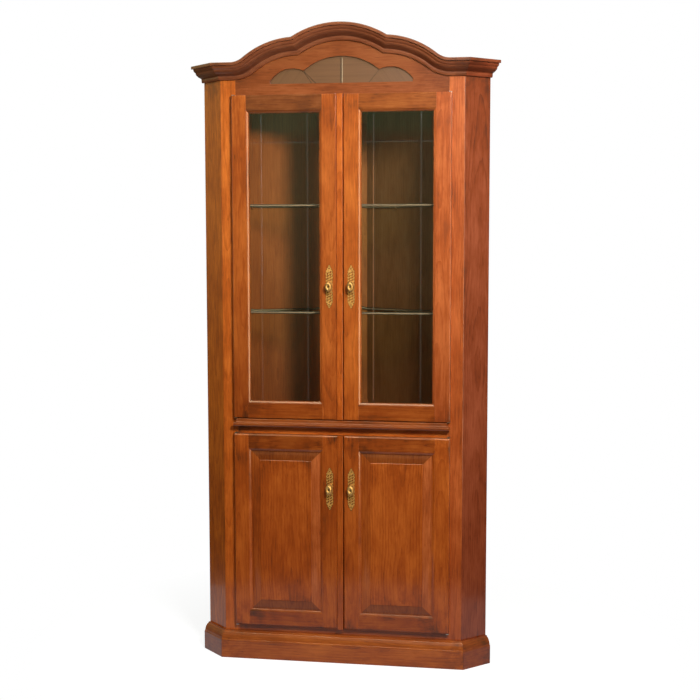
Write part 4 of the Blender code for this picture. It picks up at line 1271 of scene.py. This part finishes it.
class HUTCH_OT_add_knobs(bpy.types.Operator):
    """Build the four oval knobs, each with its bolt and nut"""
    bl_idname = "hutch.add_knobs"
    bl_label = "Add knobs"

    def execute(self, context):
        sizes = chosen("handles")
        brasses = [aged_brass("aged_brass_knob", (0.52, 0.54, 0.68), 0.46),
                   aged_brass("brass_dish_patina_and_painted_reflection", 0.20, 0.5)]
        turns = np.linspace(0.0, 2 * math.pi, 48, endpoint=False)
        for level, name in doors:
            node = f"{level}_door_{name}_knob"
            mid = middle(node)
            seat = lowest(f"{level}_door_{name}_plate").y - seat_gap
            long = seat - lowest(node).y
            back = highest(f"{level}_door_{name}_frame").y + seat_gap
            wide, tall = sizes.knob_width / 2, sizes.knob_height / 2
            dish = sizes.knob_dish / long
            # Rows of (share of the projection, half width, half height): dished face, rolled rim, neck, foot.
            head = ((1.0 - dish, 0.0), (1.0 - dish, 0.18), (0.95, 0.32), (1.0, 0.52), (0.97, 0.68),
                    (0.88, 0.84), (0.74, 0.96), (0.62, 1.0), (0.52, 0.93), (0.47, 0.74))
            neck = ((0.42, 0.0060), (0.34, 0.0052), (0.16, 0.0047), (0.07, 0.0058), (0.0, 0.0067))
            rows = np.concatenate((spline(head, 5)[:, [0, 1, 1]] * (1, wide, tall),
                                   spline(neck, 4)[:, [0, 1, 1]]))
            rows[:, 0] = seat - rows[:, 0] * long
            bolt = np.array(((seat, 0.0022), (back, 0.0022), (back, 0.0055), (back + 0.0016, 0.0055),
                             (back + 0.0023, 0.0042), (back + 0.0025, 0.0)))[:, [0, 1, 1]]
            rows = np.concatenate((rows, bolt))
            x = mid.x + rows[:, 1:2] * np.cos(turns)
            z = mid.z + rows[:, 2:3] * np.sin(turns)
            points, faces = shell_of(x, rows[:, :1], z)
            # The dark film stays in the dish, which is the first seven bands of faces: patina, and a painted
            # dark reflection in the knob's face.
            dark = np.arange(len(faces)) < 7 * len(turns)
            make_piece(f"{level}_{name}_pull", [(points, faces, dark)], node, brasses, crease=40.0)
        return {"FINISHED"}


def studio_floor(name, tint, boost):
    """A pale floor that keeps the object's shadow; well away from it the camera sees plain white."""
    floor = Recipe(name)
    skin = floor.ramp(floor.noise(40.0, 3.0), [(0.2, tinted(tint, 0.985)), (0.8, tuple(tint))])
    matt = floor.surface(skin, 0.7, {"Specular IOR Level": 0.1})
    lit = floor.add("AddShader", {0: matt.outputs[0], 1: floor.add("Emission", {"Strength": boost}).outputs[0]})
    white = floor.add("Emission", {"Strength": 1.0})
    reach = floor.vector("LENGTH", floor.place)["Value"]
    seen = floor.blend(floor.spread(reach, 0.62, 1.15), lit, white)
    return floor.finish(floor.blend(floor.rays("Camera", "Transmission", "Glossy"), matt, seen))


def studio_world(name, level, front):
    """Soft light from all round, in which the camera and glass see white.

    Reflections see white behind and a room in front, which is lit above eye level, greener higher up and
    dark towards its floor.
    """
    world, white = Recipe(name, "worlds"), (1.0, 1.0, 1.0)
    way = world.add("SeparateXYZ", {0: world.coordinates["Generated"]}).outputs
    room = (*tinted(front, 0.15), 1.0)
    # Each layer of the room takes over from the last one while a ray's way goes from one value to another.
    greener = tinted(front, (0.9, 1.4, 1.4))
    layers = (("Z", -0.12, 0.02, front), ("Z", 0.07, 0.10, greener), ("Y", 0.75, 0.97, white))
    for axis, start, end, shade in layers:
        feeds = {0: world.spread(way[axis], start, end), 6: room, 7: (*shade, 1.0)}
        room = world.add("Mix", feeds, data_type="RGBA").outputs[2]
    soft = world.add("Background", {"Color": (*white, 1.0), "Strength": level})
    mirrored, seen = (world.add("Background", {"Color": shade}) for shade in (room, (*white, 1.0)))
    glossy = world.blend(world.rays("Glossy"), soft, mirrored)
    return world.finish(world.blend(world.rays("Camera", "Transmission"), glossy, seen), "OutputWorld")


def add_lamp(name, place, target, size, power, tint):
    """A lamp of a width and a height that faces its target."""
    lamp = bpy.data.lights.new(name, "AREA")
    lamp.shape, lamp.size, lamp.size_y, lamp.energy, lamp.color = "RECTANGLE", *size, power, tint
    holder = bpy.data.objects.new(name, lamp)
    facing = (Vector(target) - Vector(place)).to_track_quat("-Z", "Y").to_matrix()
    holder.matrix_world = Matrix.Translation(place) @ facing.to_4x4()
    bpy.context.scene.collection.objects.link(holder)
    return holder


def add_camera(stage):
    """The camera, turned to the left and down from +Y and then rolled about the way it looks."""
    turn, tilt, roll = stage.camera_turn, stage.camera_tilt, stage.camera_roll
    ahead = Vector((-math.sin(turn) * math.cos(tilt), math.cos(turn) * math.cos(tilt), -math.sin(tilt)))
    right = Vector((math.cos(turn), math.sin(turn), 0.0))
    up = right.cross(ahead)
    leaning = math.cos(roll) * right + math.sin(roll) * up
    upright = math.cos(roll) * up - math.sin(roll) * right
    data = bpy.data.cameras.new("view_camera")
    data.lens, data.sensor_width, data.clip_end = stage.lens, 36.0, 50.0
    camera = bpy.data.objects.new("view_camera", data)
    facing = Matrix((leaning, upright, -ahead)).transposed()
    camera.matrix_world = Matrix.Translation(stage.camera_place) @ facing.to_4x4()
    bpy.context.scene.collection.objects.link(camera)
    bpy.context.scene.camera = camera


def floor_disc(name):
    """A disc just under the origin: rings at distances that grow by one factor, round a point in the middle."""
    reach = np.concatenate(([0.0], np.geomspace(0.3, 1.25, 12)))[:, None]
    turns = np.linspace(0.0, 2 * math.pi, 64, endpoint=False)
    points = np.stack((reach * np.cos(turns), reach * np.sin(turns), 0 * reach * turns - 0.0005), -1)
    quads = grid_quads(wrapped_numbers(points))[:, [0, 3, 2, 1]]
    return welded(name, points.reshape(-1, 3), quads.tolist())


class HUTCH_OT_add_stage(bpy.types.Operator):
    """Set up the camera, the lamps, the pale floor and the white surroundings"""
    bl_idname = "hutch.add_stage"
    bl_label = "Add stage"

    def execute(self, context):
        stage = chosen("stage")
        context.scene.view_settings.view_transform = "Standard"
        context.scene.world = studio_world("studio_world", stage.world_level, tuple(stage.front_colour))
        add_camera(stage)
        shine, white, amber = stage.shine_power, (1.0, 1.0, 1.0), (1.0, 0.80, 0.48)
        # Each lamp: its name and place, what it faces, its width and height, power and tint.
        square = (stage.key_size, stage.key_size)
        lamps = (("key_lamp", stage.key_place, (0.0, -0.2, 1.45), square, stage.key_power, white),
                 ("top_lamp", (0.0, -1.45, 3.6), (0.0, -0.25, 1.0), (1.6, 0.6), stage.top_power, white),
                 ("fill_lamp", (-2.6, -2.6, 1.9), (0.0, -0.2, 1.4), (1.6, 1.6), stage.fill_power, white))
        # The strips show as reflections alone.
        strips = (("tall_strip", (1.85, -1.55, 1.30), (0.0, -0.25, 1.30), (0.70, 2.1), 0.8 * shine, amber),
                  ("top_strip", (-0.45, -1.45, 3.55), (-0.45, -0.25, 1.0), (1.6, 0.8), 0.7 * shine, amber))
        for lamp in (*lamps, *strips):
            add_lamp(*lamp).visible_diffuse = lamp not in strips
        paint = studio_floor("studio_floor", chosen("finishes").floor, stage.floor_boost)
        floor = shown(floor_disc("studio_floor"), [paint])
        return {"FINISHED"}


class HUTCH_PT_panel(bpy.types.Panel):
    """Lists the hutch's pieces and settings"""
    bl_idname = "HUTCH_PT_panel"
    bl_label = "Corner hutch"
    bl_space_type = "VIEW_3D"
    bl_region_type = "UI"
    bl_category = "Hutch"

    def draw(self, context):
        for maker in MAKERS:
            self.layout.operator(maker.bl_idname)
        for group in HutchSettings.__annotations__:
            box = self.layout.box()
            box.label(text=group.capitalize())
            for key in chosen(group).__annotations__:
                box.prop(chosen(group), key)


GROUPS = (HutchMouldings, HutchFan, HutchDoors, HutchHandles, HutchFinishes, HutchStage, HutchSettings)
MAKERS = (HUTCH_OT_add_stage, HUTCH_OT_finish_case, HUTCH_OT_add_corners, HUTCH_OT_add_crown, HUTCH_OT_add_base,
          HUTCH_OT_add_waist, HUTCH_OT_add_fan_glass, HUTCH_OT_add_shelves, HUTCH_OT_add_door_frames,
          HUTCH_OT_add_panes, HUTCH_OT_add_panels, HUTCH_OT_add_meeting_strips, HUTCH_OT_add_plates,
          HUTCH_OT_add_knobs)


def register():
    for made in (*GROUPS, *MAKERS, HUTCH_PT_panel):
        bpy.utils.register_class(made)
    bpy.types.Scene.corner_hutch = PointerProperty(type=HutchSettings)


def unregister():
    del bpy.types.Scene.corner_hutch
    for made in reversed((*GROUPS, *MAKERS, HUTCH_PT_panel)):
        bpy.utils.unregister_class(made)


def main():
    register()
    for maker in MAKERS:
        group, name = maker.bl_idname.split(".")
        getattr(getattr(bpy.ops, group), name)()


if __name__ == "__main__":
    main()
